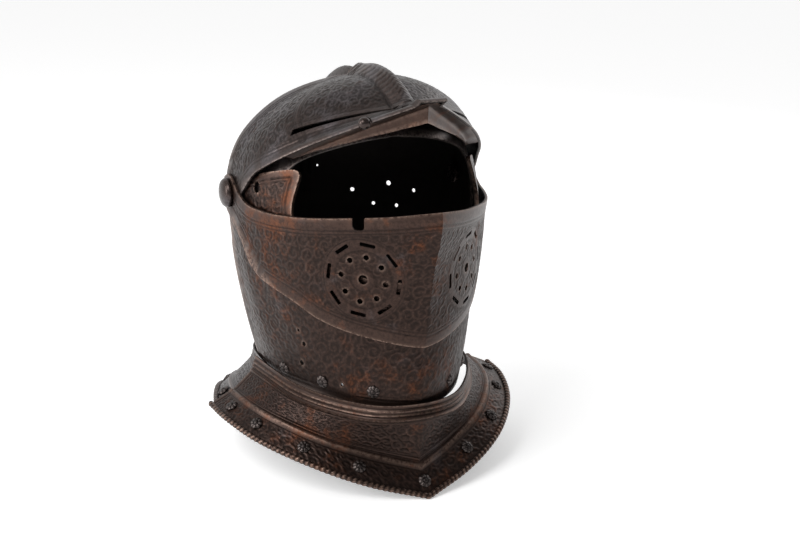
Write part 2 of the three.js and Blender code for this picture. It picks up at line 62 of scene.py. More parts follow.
SKULL_WIDTH = LOWER_WIDTH - LAYER
LEDGE_ANGLE = 31.2
BOLT_HOLE = 4.5
RIM_CENTRE = 1.9 - 214.0

Array = np.ndarray


# ------------------------------------------------------------------ finishes
class Slot(Enum):
    """Material slots of the record."""

    PATINATED = "patinated_steel"
    RUSTY = "rust_brown_steel"
    POLISHED = "worn_dark_steel"
    RIVETS = "rivet_steel"


@dataclass(frozen=True)
class Steel:
    """Patinated steel with rust, a grey film and darker recesses.

    Reads the point attributes relief, wear and inside where the piece has them: relief sets the painted shade in
    the sunk tooling, and inside paints the inner faces almost black as painted shade.
    """

    name: str
    slot: Slot
    brown: tuple[float, float, float]
    rust: tuple[float, float, float]
    film: tuple[float, float, float]
    # Colour of the random grime specks and of the painted shade in the sunk tooling.
    grime_and_shade: tuple[float, float, float]
    worn: tuple[float, float, float]
    rust_amount: float
    film_amount: float
    roughness: float
    grain: float = 0.00016
    carved: bool = True

    def build(self) -> bpy.types.Material:
        """Makes the node material.

        Returns:
            The material, under this finish's name.
        """
        material = bpy.data.materials.new(self.name)
        material.use_nodes = True
        tree = material.node_tree
        tree.nodes.clear()
        out = tree.nodes.new("ShaderNodeOutputMaterial")
        shader = tree.nodes.new("ShaderNodeBsdfPrincipled")
        tree.links.new(shader.outputs["BSDF"], out.inputs["Surface"])
        coords = tree.nodes.new("ShaderNodeTexCoord").outputs["Object"]

        broad = self._noise(tree, coords, 17.0, 5.0, 0.62)
        patchy = self._noise(tree, coords, 62.0, 6.0, 0.68)
        speck = self._noise(tree, coords, 420.0, 4.0, 0.6)
        film = self._noise(tree, coords, 34.0, 4.0, 0.55)

        rusting = self._math(tree, "MULTIPLY_ADD", patchy, 0.55, self._math(
            tree, "MULTIPLY_ADD", broad, 0.45, 0.0))
        rusting = self._ramp(tree, rusting, 0.60 - 0.16 * self.rust_amount, 0.72 - 0.1 * self.rust_amount)
        filming = self._ramp(tree, film, 0.64 - 0.24 * self.film_amount, 0.82 - 0.24 * self.film_amount)
        colour = self._mix(tree, filming, self.brown, self.film)
        colour = self._mix(tree, self._math(tree, "MULTIPLY", rusting, 0.85), colour, self.rust)
        grime = self._ramp(tree, speck, 0.42, 0.62)
        colour = self._mix(tree, self._math(tree, "MULTIPLY", grime, 0.42), colour, self.grime_and_shade)
        roughness = self._math(tree, "MULTIPLY_ADD", rusting, 0.16, self.roughness)
        roughness = self._math(tree, "MULTIPLY_ADD", speck, 0.18, self._math(
            tree, "SUBTRACT", roughness, 0.09))
        if self.carved:
            relief = self._attribute(tree, "relief")
            wear = self._attribute(tree, "wear")
            inside = self._attribute(tree, "inside")
            # Painted shade: the lower the relief, the more the colour is darkened towards the recess colour.
            sunk = self._math(tree, "SUBTRACT", 1.0, relief)
            colour = self._mix(tree, self._math(tree, "MULTIPLY", sunk, 0.72), colour, self.grime_and_shade)
            crest = self._ramp(tree, relief, 0.80, 1.0)
            scuffed = self._math(tree, "MULTIPLY", crest, self._ramp(tree, patchy, 0.42, 0.66))
            colour = self._mix(tree, self._math(tree, "MULTIPLY", scuffed, 0.20), colour, self.worn)
            rubbed = self._math(tree, "MULTIPLY", wear, self._ramp(tree, speck, 0.36, 0.60))
            colour = self._mix(tree, self._math(tree, "MULTIPLY", rubbed, 0.70), colour, self.worn)
            # Painted shade: the inner faces are painted almost black.
            colour = self._mix(tree, inside, colour, (0.012, 0.009, 0.008))
            roughness = self._math(tree, "MULTIPLY_ADD", inside, 0.25, roughness)
        bump = tree.nodes.new("ShaderNodeBump")
        bump.inputs["Strength"].default_value = 0.55
        bump.inputs["Distance"].default_value = self.grain
        tree.links.new(self._math(tree, "ADD", speck, self._math(tree, "MULTIPLY", patchy, 0.8)),
                       bump.inputs["Height"])
        tree.links.new(bump.outputs["Normal"], shader.inputs["Normal"])
        tree.links.new(colour, shader.inputs["Base Color"])
        tree.links.new(roughness, shader.inputs["Roughness"])
        shader.inputs["Metallic"].default_value = 0.82
        return material

    @staticmethod
    def _noise(tree, coords, scale: float, detail: float, rough: float):
        """Adds a noise texture on Object coordinates and returns its value socket."""
        node = tree.nodes.new("ShaderNodeTexNoise")
        node.inputs["Scale"].default_value = scale
        node.inputs["Detail"].default_value = detail
        node.inputs["Roughness"].default_value = rough
        tree.links.new(coords, node.inputs["Vector"])
        return node.outputs["Fac"]

    @staticmethod
    def _attribute(tree, name: str):
        """Adds a point attribute node and returns its value socket."""
        node = tree.nodes.new("ShaderNodeAttribute")
        node.attribute_name = name
        return node.outputs["Fac"]

    @staticmethod
    def _math(tree, operation: str, *values):
        """Adds a math node over sockets or numbers and returns its value socket."""
        node = tree.nodes.new("ShaderNodeMath")
        node.operation = operation
        node.use_clamp = operation == "MULTIPLY"
        for k, value in enumerate(values):
            if isinstance(value, (int, float)):
                node.inputs[k].default_value = value
            else:
                tree.links.new(value, node.inputs[k])
        return node.outputs[0]

    @staticmethod
    def _ramp(tree, value, low: float, high: float):
        """Adds a clamped smooth ramp from 0 at low to 1 at high and returns its socket."""
        node = tree.nodes.new("ShaderNodeMapRange")
        node.interpolation_type = "SMOOTHSTEP"
        node.inputs["From Min"].default_value = low
        node.inputs["From Max"].default_value = high
        tree.links.new(value, node.inputs["Value"])
        return node.outputs["Result"]

    @staticmethod
    def _mix(tree, factor, first, second):
        """Adds a colour mix of two sockets or colours and returns its colour socket."""
        node = tree.nodes.new("ShaderNodeMix")
        node.data_type = "RGBA"
        for socket, value in ((node.inputs[0], factor), (node.inputs[6], first), (node.inputs[7], second)):
            if isinstance(value, tuple):
                socket.default_value = (*value, 1.0)
            elif isinstance(value, float):
                socket.default_value = value
            else:
                tree.links.new(value, socket)
        return node.outputs[2]


GREY_PLATE = Steel("patinated_steel", Slot.PATINATED, brown=(0.052, 0.037, 0.033), rust=(0.085, 0.036, 0.020),
                   film=(0.092, 0.079, 0.082), grime_and_shade=(0.010, 0.007, 0.006), worn=(0.26, 0.21, 0.19),
                   rust_amount=0.15, film_amount=0.8, roughness=0.36)
BROWN_PLATE = Steel("rust_brown_steel", Slot.RUSTY, brown=(0.047, 0.027, 0.021), rust=(0.135, 0.042, 0.015),
                    film=(0.075, 0.060, 0.060), grime_and_shade=(0.007, 0.004, 0.003), worn=(0.30, 0.20, 0.155),
                    rust_amount=0.62, film_amount=0.32, roughness=0.37)
FITTING = Steel("worn_dark_steel", Slot.POLISHED, brown=(0.050, 0.036, 0.032), rust=(0.080, 0.038, 0.026),
                film=(0.075, 0.064, 0.066), grime_and_shade=(0.02, 0.014, 0.012), worn=(0.24, 0.2, 0.18),
                rust_amount=0.1, film_amount=0.4, roughness=0.27, carved=False, grain=0.00006)
RIVET = Steel("rivet_steel", Slot.RIVETS, brown=(0.030, 0.023, 0.021), rust=(0.055, 0.026, 0.018),
              film=(0.046, 0.040, 0.041), grime_and_shade=(0.006, 0.004, 0.004), worn=(0.16, 0.13, 0.12),
              rust_amount=0.15, film_amount=0.5, roughness=0.34, grain=0.00006)


# ------------------------------------------------------------------ plane geometry
def smooth(low: float, high: float, value: Array) -> Array:
    """Smooth step from 0 at low to 1 at high."""
    t = np.clip((value - low) / (high - low), 0.0, 1.0)
    return t * t * (3.0 - 2.0 * t)


def groove(distance: Array, at: float, half: float) -> Array:
    """A rounded line of 1 at the given distance, fading over half its width."""
    return np.exp(-((distance - at) / half) ** 2)


def softened(outline: list[list[float]], cut: float) -> Array:
    """Rounds every corner of a closed outline.

    Args:
        outline: Corner points.
        cut: Length taken off each side of a corner, at most.

    Returns:
        The points of the rounded outline.
    """
    points = np.array(outline, float)
    result = []
    for before, corner, after in zip(np.roll(points, 1, 0), points, np.roll(points, -1, 0)):
        a, b = before - corner, after - corner
        la, lb = np.linalg.norm(a), np.linalg.norm(b)
        reach = min(cut, 0.48 * la, 0.48 * lb)
        start, end = corner + a / la * reach, corner + b / lb * reach
        for t in np.linspace(0.0, 1.0, 5):
            result.append((1 - t) ** 2 * start + 2 * t * (1 - t) * corner + t * t * end)
    return np.array(result)


def outline_distance(points: Array, outline: Array) -> Array:
    """Signed distance of points to a closed outline, negative inside."""
    nearest = np.full(len(points), 1e12)
    inside = np.zeros(len(points), bool)
    for a, b in zip(outline, np.roll(outline, -1, 0)):
        edge, offset = b - a, points - a
        length = float(edge @ edge)
        if length < 1e-9:
            continue
        t = np.clip(offset @ edge / length, 0.0, 1.0)
        nearest = np.minimum(nearest, ((offset - t[:, None] * edge) ** 2).sum(1))
        crosses = (a[1] > points[:, 1]) != (b[1] > points[:, 1])
        if a[1] != b[1]:
            x = a[0] + (points[:, 1] - a[1]) / (b[1] - a[1]) * edge[0]
            inside ^= crosses & (points[:, 0] < x)
    return np.where(inside, -1.0, 1.0) * np.sqrt(nearest)


def line_distance(points: Array, line: Array) -> Array:
    """Distance of points to an open line of the same number of coordinates."""
    nearest = np.full(len(points), 1e12)
    for a, b in zip(line[:-1], line[1:]):
        edge, offset = b - a, points - a
        t = np.clip(offset @ edge / float(edge @ edge), 0.0, 1.0)
        nearest = np.minimum(nearest, ((offset - t[:, None] * edge) ** 2).sum(1))
    return np.sqrt(nearest)


def arc(radius: float, steps: int, start: float, end: float) -> list[list[float]]:
    """Points of an arc about the pivot, in degrees above forward."""
    angles = np.radians(np.linspace(start, end, steps + 1))
    return [[radius * math.cos(a), radius * math.sin(a)] for a in angles]


# ------------------------------------------------------------------ forms
@dataclass
class Form:
    """A plate's body: for each direction about the pivot axis, a section from keel to pivot.

    A key is degrees above forward, keel radius, set-back, crown and side, as in the frame.
    """

    width: float
    keys: list[list[float]]

    def values(self, degrees: Array) -> Array:
        """Keel radius, set-back, crown and side at each direction."""
        keys = np.array(self.keys, float)
        count = len(keys)
        wrapped = (np.asarray(degrees, float) - keys[0, 0]) % 360 + keys[0, 0]
        i = np.searchsorted(keys[:, 0], wrapped, side="right") - 1

        def key(k: Array) -> tuple[Array, Array]:
            return keys[k % count, 0] + 360 * (k // count), keys[k % count, 1:]

        (a0, v0), (a1, v1), (a2, v2), (a3, v3) = key(i - 1), key(i), key(i + 1), key(i + 2)
        span = (a2 - a1)[..., None]
        t = ((wrapped - a1) / (a2 - a1))[..., None]
        slope_in = (v2 - v0) / (a2 - a0)[..., None] * span
        slope_out = (v3 - v1) / (a3 - a1)[..., None] * span
        rise = v2 - v1
        return v1 + t * (slope_in + t * (3 * rise - 2 * slope_in - slope_out
                                         + t * (slope_in + slope_out - 2 * rise)))

    def section(self, degrees: Array, t: Array, inset: float = 0.0) -> tuple[Array, Array]:
        """Reach from the axis and signed half width at directions and section places."""
        keel, back, crown, side = np.moveaxis(self.values(degrees), -1, 0)
        width = self.width - inset
        u = np.abs(t)
        w0, w1, w2, w3 = (1 - u) ** 3, 3 * u * (1 - u) ** 2, 3 * u * u * (1 - u), u ** 3
        reach = w0 * (keel - inset) + w1 * (keel - inset - back) + w2 * (side - inset / 2)
        half = w1 * (crown - inset / 2) + (w2 + w3) * width
        return reach, np.sign(t) * half

    def point(self, degrees: Array, t: Array, inset: float = 0.0) -> Array:
        """Positions at directions and section places."""
        degrees, t = np.broadcast_arrays(np.asarray(degrees, float), np.asarray(t, float))
        reach, x = self.section(degrees, t, inset)
        angle = np.radians(degrees)
        return np.stack([x, -reach * np.cos(angle), reach * np.sin(angle)], -1)

    def normal(self, degrees: float, t: float) -> Array:
        """Outward direction at one place."""
        along = self.point(degrees + 1, t) - self.point(degrees - 1, t)
        across = self.point(degrees, t + 0.01) - self.point(degrees, t - 0.01)
        normal = np.cross(along, across)
        normal /= np.linalg.norm(normal)
        return normal if normal @ self.point(degrees, t) > 0 else -normal


def keel_radius(degrees: float) -> float:
    """Reach of the bevor's slanting prow line."""
    angle = math.radians(degrees)
    return 162.7 / (math.cos(angle) - 0.22 * math.sin(angle))


UPPER_FORM = Form(UPPER_WIDTH, [
    [-150, 130, 0, 60, 80], [-110, 190, 0, 66, 98], [-90, 190, 0, 66, 97], [-60, 190, 4, 58, 90],
    [-34.5, keel_radius(-34.5), 6, 45, 80], [-23, keel_radius(-23), 18, 48, 78],
    [-12, keel_radius(-12), 32, 53, 76], [4.5, keel_radius(4.5), 43, 59, 75],
    [40, 140, 40, 58, 78], [90, 120, 0, 58, 80], [150, 120, 0, 58, 80]])
LOWER_FORM = Form(LOWER_WIDTH, [
    [-135, 170, 0, 60, 76], [-110, 230, 0, 67, 92], [-90, 240, 0, 67, 92], [-75, 240, 0, 69, 89],
    [-60, 236, 0, 46, 86], [-45, 195.5, 6, 40, 84], [-34.5, 168, 6, 42, 78], [-20, 156, 20, 44, 74],
    [-5, 140, 14, 48, 67], [12, 118, 0, 50, 60], [40, 112, 0, 50, 56], [90, 105, 0, 50, 54],
    [150, 110, 0, 52, 54]])
SKULL_FORM = Form(SKULL_WIDTH, [
    [-158, 107, 0, 54, 54], [-138, 119, 0, 55, 60], [-118, 157, 0, 50, 68], [-105, 200, 0, 57, 76],
    [-90, 235, 0, 62, 80], [-60, 232, 0, 38, 76], [-30, 150, 0, 45, 70], [0, 110, 0, 50, 56],
    [35, 99, 0, 53, 54], [46, 93, 0, 52, 52], [60, 86.5, 0, 51, 50], [90, 86, 0, 51, 50],
    [120, 84, 0, 51, 50], [150, 90, 0, 51, 50], [180, 100, 0, 52, 52]])
VISOR_FORM = Form(VISOR_WIDTH, [
    [-110, 200, 0, 62, 95], [-90, 200, 0, 60, 94], [-45, 170, 10, 58, 88], [0, 160, 30, 57, 74],
    [26, 172, 57, 59, 76], [32, 172, 57, 59, 76], [34.5, 148, 34, 58, 75], [37.5, 130, 10, 57, 72],
    [45, 121, 4, 56, 69], [55, 113, 0, 55, 65], [65, 104, 0, 54, 61], [80, 92, 0, 53, 58],
    [120, 92, 0, 53, 61], [200, 130, 0, 56, 84]])


@dataclass
class Ridge:
    """A comb standing on a form's keel."""

    height: float
    half_width: float
    fade: Callable[[Array], Array]
    rope_pitch: float
    slant: float
    depth: float

    PROFILE = ([0, 0.14, 0.42, 0.72, 1.0, 1.12], [1.0, 0.99, 0.86, 0.52, 0.06, -0.25])

    def raised(self, keel: Array, reach: Array, x: Array, degrees: Array) -> Array:
        """Reach of the surface with the comb on it."""
        profile = np.interp(np.abs(x) / self.half_width, *self.PROFILE)
        comb = keel + profile * self.height * self.fade(degrees)
        return np.where(np.abs(x) < 1.12 * self.half_width, np.maximum(reach, comb), reach)


# ------------------------------------------------------------------ tooled foliage
@dataclass
class Foliage:
    """Scrolls and leaves tooled over a flat ground, as a height from 0 to 1."""

    ground: Array
    seed: int
    pitch: float = 15.5
    scale: float = 0.66
    cell: float = 0.42
    field: Array = data_field(init=False)
    low: Array = data_field(init=False)

    def __post_init__(self) -> None:
        """Draws the whole ornament over the ground's points."""
        self.ground = self.ground / self.scale
        self.low = self.ground.min(0) - 12.0
        size = ((self.ground.max(0) + 12.0 - self.low) / self.cell).astype(int)
        self.field = np.zeros((size[1], size[0]), np.float32)
        self.random = np.random.default_rng(self.seed)
        block = 5.0
        taken = {tuple(c) for c in np.unique((self.ground / block).round().astype(int), axis=0)}
        centres = self._centres(taken, block)
        for x, y, spin in centres:
            self._scroll(np.array([x, y]), spin)
        self._fill(taken, block)
        blurred = self.field.copy()
        for axis in (0, 1):
            blurred = 0.25 * np.roll(blurred, 1, axis) + 0.5 * blurred + 0.25 * np.roll(blurred, -1, axis)
        self.field = blurred

    def _centres(self, taken: set, block: float) -> list[tuple[float, float, int]]:
        """Scroll centres on a loose triangular lattice, turning by turns left and right."""
        high = self.low + np.array(self.field.shape[::-1]) * self.cell
        centres = []
        row = 0
        y = self.low[1]
        while y < high[1]:
            x = self.low[0] + (row % 2) * self.pitch / 2
            column = 0
            while x < high[0]:
                spot = np.array([x, y]) + self.random.uniform(-2.4, 2.4, 2)
                near = any(tuple(((spot + d) / block).round().astype(int)) in taken
                           for d in ((0, 0), (6, 0), (-6, 0), (0, 6), (0, -6)))
                if near:
                    centres.append((*spot, 1 if (row + column) % 2 else -1))
                x += self.pitch
                column += 1
            y += self.pitch * 0.866
            row += 1
        return centres

    def _stroke(self, points: Array, widths: Array, vein: float = 0.0) -> None:
        """Raises a tapering stroke along points, with a sunk vein if asked."""
        for a, b, wa, wb in zip(points[:-1], points[1:], widths[:-1], widths[1:]):
            reach = max(wa, wb) + self.cell
            low = ((np.minimum(a, b) - reach - self.low) / self.cell).astype(int)
            high = ((np.maximum(a, b) + reach - self.low) / self.cell).astype(int) + 2
            low = np.maximum(low, 0)
            high = np.minimum(high, self.field.shape[::-1])
            if (high <= low).any():
                continue
            xs = self.low[0] + np.arange(low[0], high[0]) * self.cell
            ys = self.low[1] + np.arange(low[1], high[1]) * self.cell
            dx, dy = xs[None, :] - a[0], ys[:, None] - a[1]
            ex, ey = b - a
            t = np.clip((dx * ex + dy * ey) / max(ex * ex + ey * ey, 1e-9), 0, 1)
            d = np.sqrt((dx - t * ex) ** 2 + (dy - t * ey) ** 2)
            w = wa + (wb - wa) * t
            h = np.clip(1.25 * (1 - (d / w) ** 2), 0, 1)
            if vein:
                h = h - vein * np.exp(-(d / 0.36) ** 2) * (h > 0.2)
            window = self.field[low[1]:high[1], low[0]:high[0]]
            np.maximum(window, h, out=window)

    def _leaf(self, base: Array, angle: float, length: float, width: float, bend: float) -> None:
        """Draws one curved leaf from its base."""
        points, widths = [base], [0.45 * width]
        for share, grow in ((0.25, 0.9), (0.5, 1.0), (0.78, 0.7), (1.0, 0.25)):
            turn = angle + bend * share
            points.append(base + length * share * np.array([math.cos(turn), math.sin(turn)]))
            widths.append(width * grow)
        self._stroke(np.array(points), np.array(widths), 0.5)

    def _scroll(self, centre: Array, spin: int) -> None:
        """Draws one spiral stem with leaves along it and a bud at its heart."""
        start = self.random.uniform(0, 2 * math.pi)
        size = self.pitch * 0.50
        u = np.linspace(0, 1, 26)
        radius = size * (1 - u) ** 0.8 + 1.0
        angle = start + spin * u * 2 * math.pi * 1.25
        points = centre + np.stack([radius * np.cos(angle), radius * np.sin(angle)], 1)
        self._stroke(points, 0.72 - 0.22 * u)
        for k, share in enumerate(np.arange(0.0, 0.85, 0.085)):
            i = int(share * 25)
            forward = points[min(i + 1, 25)] - points[i]
            heading = math.atan2(forward[1], forward[0])
            lean = (0.75 + 0.25 * self.random.random()) * spin
            length = (5.8 - 3.8 * share) * self.random.uniform(0.8, 1.25)
            self._leaf(points[i], heading - lean, length, 0.95 - 0.3 * share, 0.9 * spin)
            if k % 2 == 0:
                self._leaf(points[i], heading + 0.9 * spin, length * 0.45, 0.7, -0.6 * spin)
        for k in range(4):
            self._leaf(centre, start + k * 1.571, 1.7, 0.7, 0.0)

    def _fill(self, taken: set, block: float) -> None:
        """Puts small sprigs wherever the ground is still bare."""
        step = 3.2
        high = self.low + np.array(self.field.shape[::-1]) * self.cell
        for y in np.arange(self.low[1] + 4, high[1] - 4, step):
            for x in np.arange(self.low[0] + 4, high[0] - 4, step):
                if tuple((np.array([x, y]) / block).round().astype(int)) not in taken:
                    continue
                i, j = int((y - self.low[1]) / self.cell), int((x - self.low[0]) / self.cell)
                if self.field[i - 3:i + 4, j - 3:j + 4].max() > 0.2:
                    continue
                turn = self.random.uniform(0, 2 * math.pi)
                for side in (-0.7, 0.0, 0.7):
                    self._leaf(np.array([x, y]), turn + side, 2.9, 0.72, side)

    def height(self, points: Array) -> Array:
        """Height at flat points, from 0 on the ground to 1 on a leaf."""
        spots = (points / self.scale - self.low) / self.cell
        i = np.clip(spots[:, 1], 0, self.field.shape[0] - 1.001)
        j = np.clip(spots[:, 0], 0, self.field.shape[1] - 1.001)
        i0, j0 = i.astype(int), j.astype(int)
        a, b = i - i0, j - j0
        f = self.field
        return ((1 - a) * ((1 - b) * f[i0, j0] + b * f[i0, j0 + 1])
                + a * ((1 - b) * f[i0 + 1, j0] + b * f[i0 + 1, j0 + 1]))


# ------------------------------------------------------------------ sheets
@dataclass
class Sheet:
    """A surface of triangles with what is known at each of its points."""

    points: Array
    normals: Array
    flat: Array
    faces: Array
    gap: Array
    extra: dict[str, Array] = data_field(default_factory=dict)

    def drill(self, centre: Array, direction: Array, radius: float, stretch: float = 1.0,
              depth: float = 15.0) -> None:
        """Opens a round or upright oval hole.

        Args:
            centre: Middle of the hole.
            direction: Its axis.
            radius: Half its width.
            stretch: Height as a share of its width.
            depth: Reach of the drill each way.
        """
        offset = self.points - centre
        along = offset @ direction
        rest = offset - along[:, None] * direction
        distance = np.sqrt(rest[:, 0] ** 2 + rest[:, 1] ** 2 + (rest[:, 2] / stretch) ** 2)
        inside = np.where(np.abs(along) < depth, radius - distance, -99.0)
        self.gap = np.maximum(self.gap, inside)
        rim = np.where(np.abs(along) < depth, groove(distance, radius, 1.1), 0.0)
        self.extra["wear"] = np.maximum(self.extra.get("wear", 0.0 * rim), 0.5 * rim)

    def punch(self, centre: Array, across: Array, along: Array, half: tuple[float, float],
              rounding: float = 0.5) -> None:
        """Opens a straight slot.

        Args:
            centre: Middle of the slot.
            across: Unit direction over its width.
            along: Unit direction down its length.
            half: Half its width and half its length.
            rounding: Radius of its corners.
        """
        offset = self.points - centre
        normal = np.cross(across, along)
        a = np.abs(offset @ across) - half[0] + rounding
        b = np.abs(offset @ along) - half[1] + rounding
        outside = np.hypot(np.maximum(a, 0), np.maximum(b, 0)) + np.minimum(np.maximum(a, b), 0) - rounding
        near = np.abs(offset @ normal) < 15.0
        self.gap = np.maximum(self.gap, np.where(near, -outside, -99.0))

    def clipped(self) -> "Sheet":
        """The part of the sheet where gap is negative, cut cleanly along its zero line."""
        gap = np.where(np.abs(self.gap) < 0.03, -0.03, self.gap)
        inside = gap[self.faces] < 0
        count = inside.sum(1)
        kept = self.faces[count == 3]
        ones = self._rolled(self.faces[count == 1], inside[count == 1], True)
        twos = self._rolled(self.faces[count == 2], inside[count == 2], False)
        pairs = np.vstack([ones[:, [0, 1]], ones[:, [0, 2]], twos[:, [0, 1]], twos[:, [0, 2]]])
        unique, where = np.unique(np.sort(pairs, 1), axis=0, return_inverse=True)
        where = where.ravel()
        a, b = unique[:, 0], unique[:, 1]
        t = (gap[a] / (gap[a] - gap[b]))[:, None]
        base = len(self.points)
        n1, n2 = len(ones), len(twos)
        e01, e02 = base + where[:n1], base + where[n1:2 * n1]
        f01, f02 = base + where[2 * n1:2 * n1 + n2], base + where[2 * n1 + n2:]
        faces = np.vstack([
            kept,
            np.stack([ones[:, 0], e01, e02], 1),
            np.stack([f01, twos[:, 1], twos[:, 2]], 1),
            np.stack([f01, twos[:, 2], f02], 1)])

        def grown(values: Array) -> Array:
            flat = values.reshape(len(values), -1)
            added = flat[a] + t * (flat[b] - flat[a])
            return np.vstack([flat, added]).reshape(-1, *values.shape[1:])

        used, compact = np.unique(faces, return_inverse=True)
        compact = compact.reshape(-1, 3)
        return Sheet(grown(self.points)[used], grown(self.normals)[used], grown(self.flat)[used], compact,
                     grown(gap)[used], {k: grown(v)[used] for k, v in self.extra.items()})

    @staticmethod
    def _rolled(faces: Array, inside: Array, wanted: bool) -> Array:
        """Faces turned so that the corner that differs from the other two is first."""
        first = (inside == wanted).argmax(1)
        rows = np.arange(len(faces))
        return np.stack([faces[rows, (first + k) % 3] for k in range(3)], 1)

    def borders(self) -> Array:
        """Directed edges that only one face has."""
        edges = np.vstack([self.faces[:, [0, 1]], self.faces[:, [1, 2]], self.faces[:, [2, 0]]])
        size = len(self.points) + 1
        forward = edges[:, 0].astype(np.int64) * size + edges[:, 1]
        backward = edges[:, 1].astype(np.int64) * size + edges[:, 0]
        return edges[~np.isin(forward, backward)]

    def to_mesh(self, name: str, sink: Array, thickness: Array) -> bpy.types.Object:
        """Makes a closed plate of the sheet.

        Args:
            name: Object name.
            sink: Depth of the tooling below the sheet at each point.
            thickness: Steel under the sheet at each point.

        Returns:
            The object, in metres in the row frame.
        """
        count = len(self.points)
        outer = self.points - self.normals * sink[:, None]
        inner = self.points - self.normals * thickness[:, None]
        edge = self.borders()
        a, b = edge[:, 0], edge[:, 1]
        walls = np.vstack([np.stack([b, a, a + count], 1), np.stack([b, a + count, b + count], 1)])
        faces = np.vstack([self.faces, self.faces[:, ::-1] + count, walls])
        attributes = {k: np.concatenate([v, v if k != "inside" else v + 1.0]) for k, v in self.extra.items()}
        # The inner faces are marked inside, which the finishes paint almost black as painted shade; their relief of
        # 0.8 adds a little painted recess shade.
        attributes["inside"] = np.concatenate([np.zeros(count), np.ones(count)])
        attributes["relief"] = np.concatenate([self.extra["relief"], np.full(count, 0.8)])
        return make_object(name, np.vstack([outer, inner]), faces, attributes)


def make_object(name: str, points: Array, faces: Array, attributes: dict[str, Array] | None = None,
                crease: float = 42.0) -> bpy.types.Object:
    """Makes an object of triangles or quads.

    Args:
        name: Object name.
        points: Positions in millimetres from the pivot.
        faces: Corner numbers, all of one length.
        attributes: Values stored on the points.
        crease: Degrees past which an edge stays sharp.

    Returns:
        The linked object.
    """
    used, compact = np.unique(faces, return_inverse=True)
    compact = compact.reshape(faces.shape)
    positions = (points[used] + PIVOT) / 1000.0
    positions[:, 2] = np.maximum(positions[:, 2], 0.0)
    mesh = bpy.data.meshes.new(name)
    mesh.vertices.add(len(positions))
    mesh.vertices.foreach_set("co", positions.astype(np.float32).ravel())
    corners = faces.shape[1]
    mesh.loops.add(compact.size)
    mesh.loops.foreach_set("vertex_index", compact.astype(np.int32).ravel())
    mesh.polygons.add(len(compact))
    mesh.polygons.foreach_set("loop_start", np.arange(0, compact.size, corners, dtype=np.int32))
    mesh.update(calc_edges=True)
    mesh.polygons.foreach_set("use_smooth", np.ones(len(compact), bool))
    mesh.set_sharp_from_angle(angle=math.radians(crease))
    for key, values in (attributes or {}).items():
        layer = mesh.attributes.new(key, "FLOAT", "POINT")
        layer.data.foreach_set("value", values[used].astype(np.float32))
    mesh.validate()
    result = bpy.data.objects.new(name, mesh)
    bpy.context.scene.collection.objects.link(result)
    return result


def dress(piece: bpy.types.Object, body: str, finish: bpy.types.Material, slot: Slot, *nodes: str) -> None:
    """Gives a piece its finish and body and hides the frame nodes it stands for."""
    piece.data.materials.clear()
    piece.data.materials.append(finish)
    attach(piece, body)
    if nodes:
        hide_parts(*nodes)
    LOG.info("%s on %s: %d faces", piece.name, body, len(piece.data.polygons))


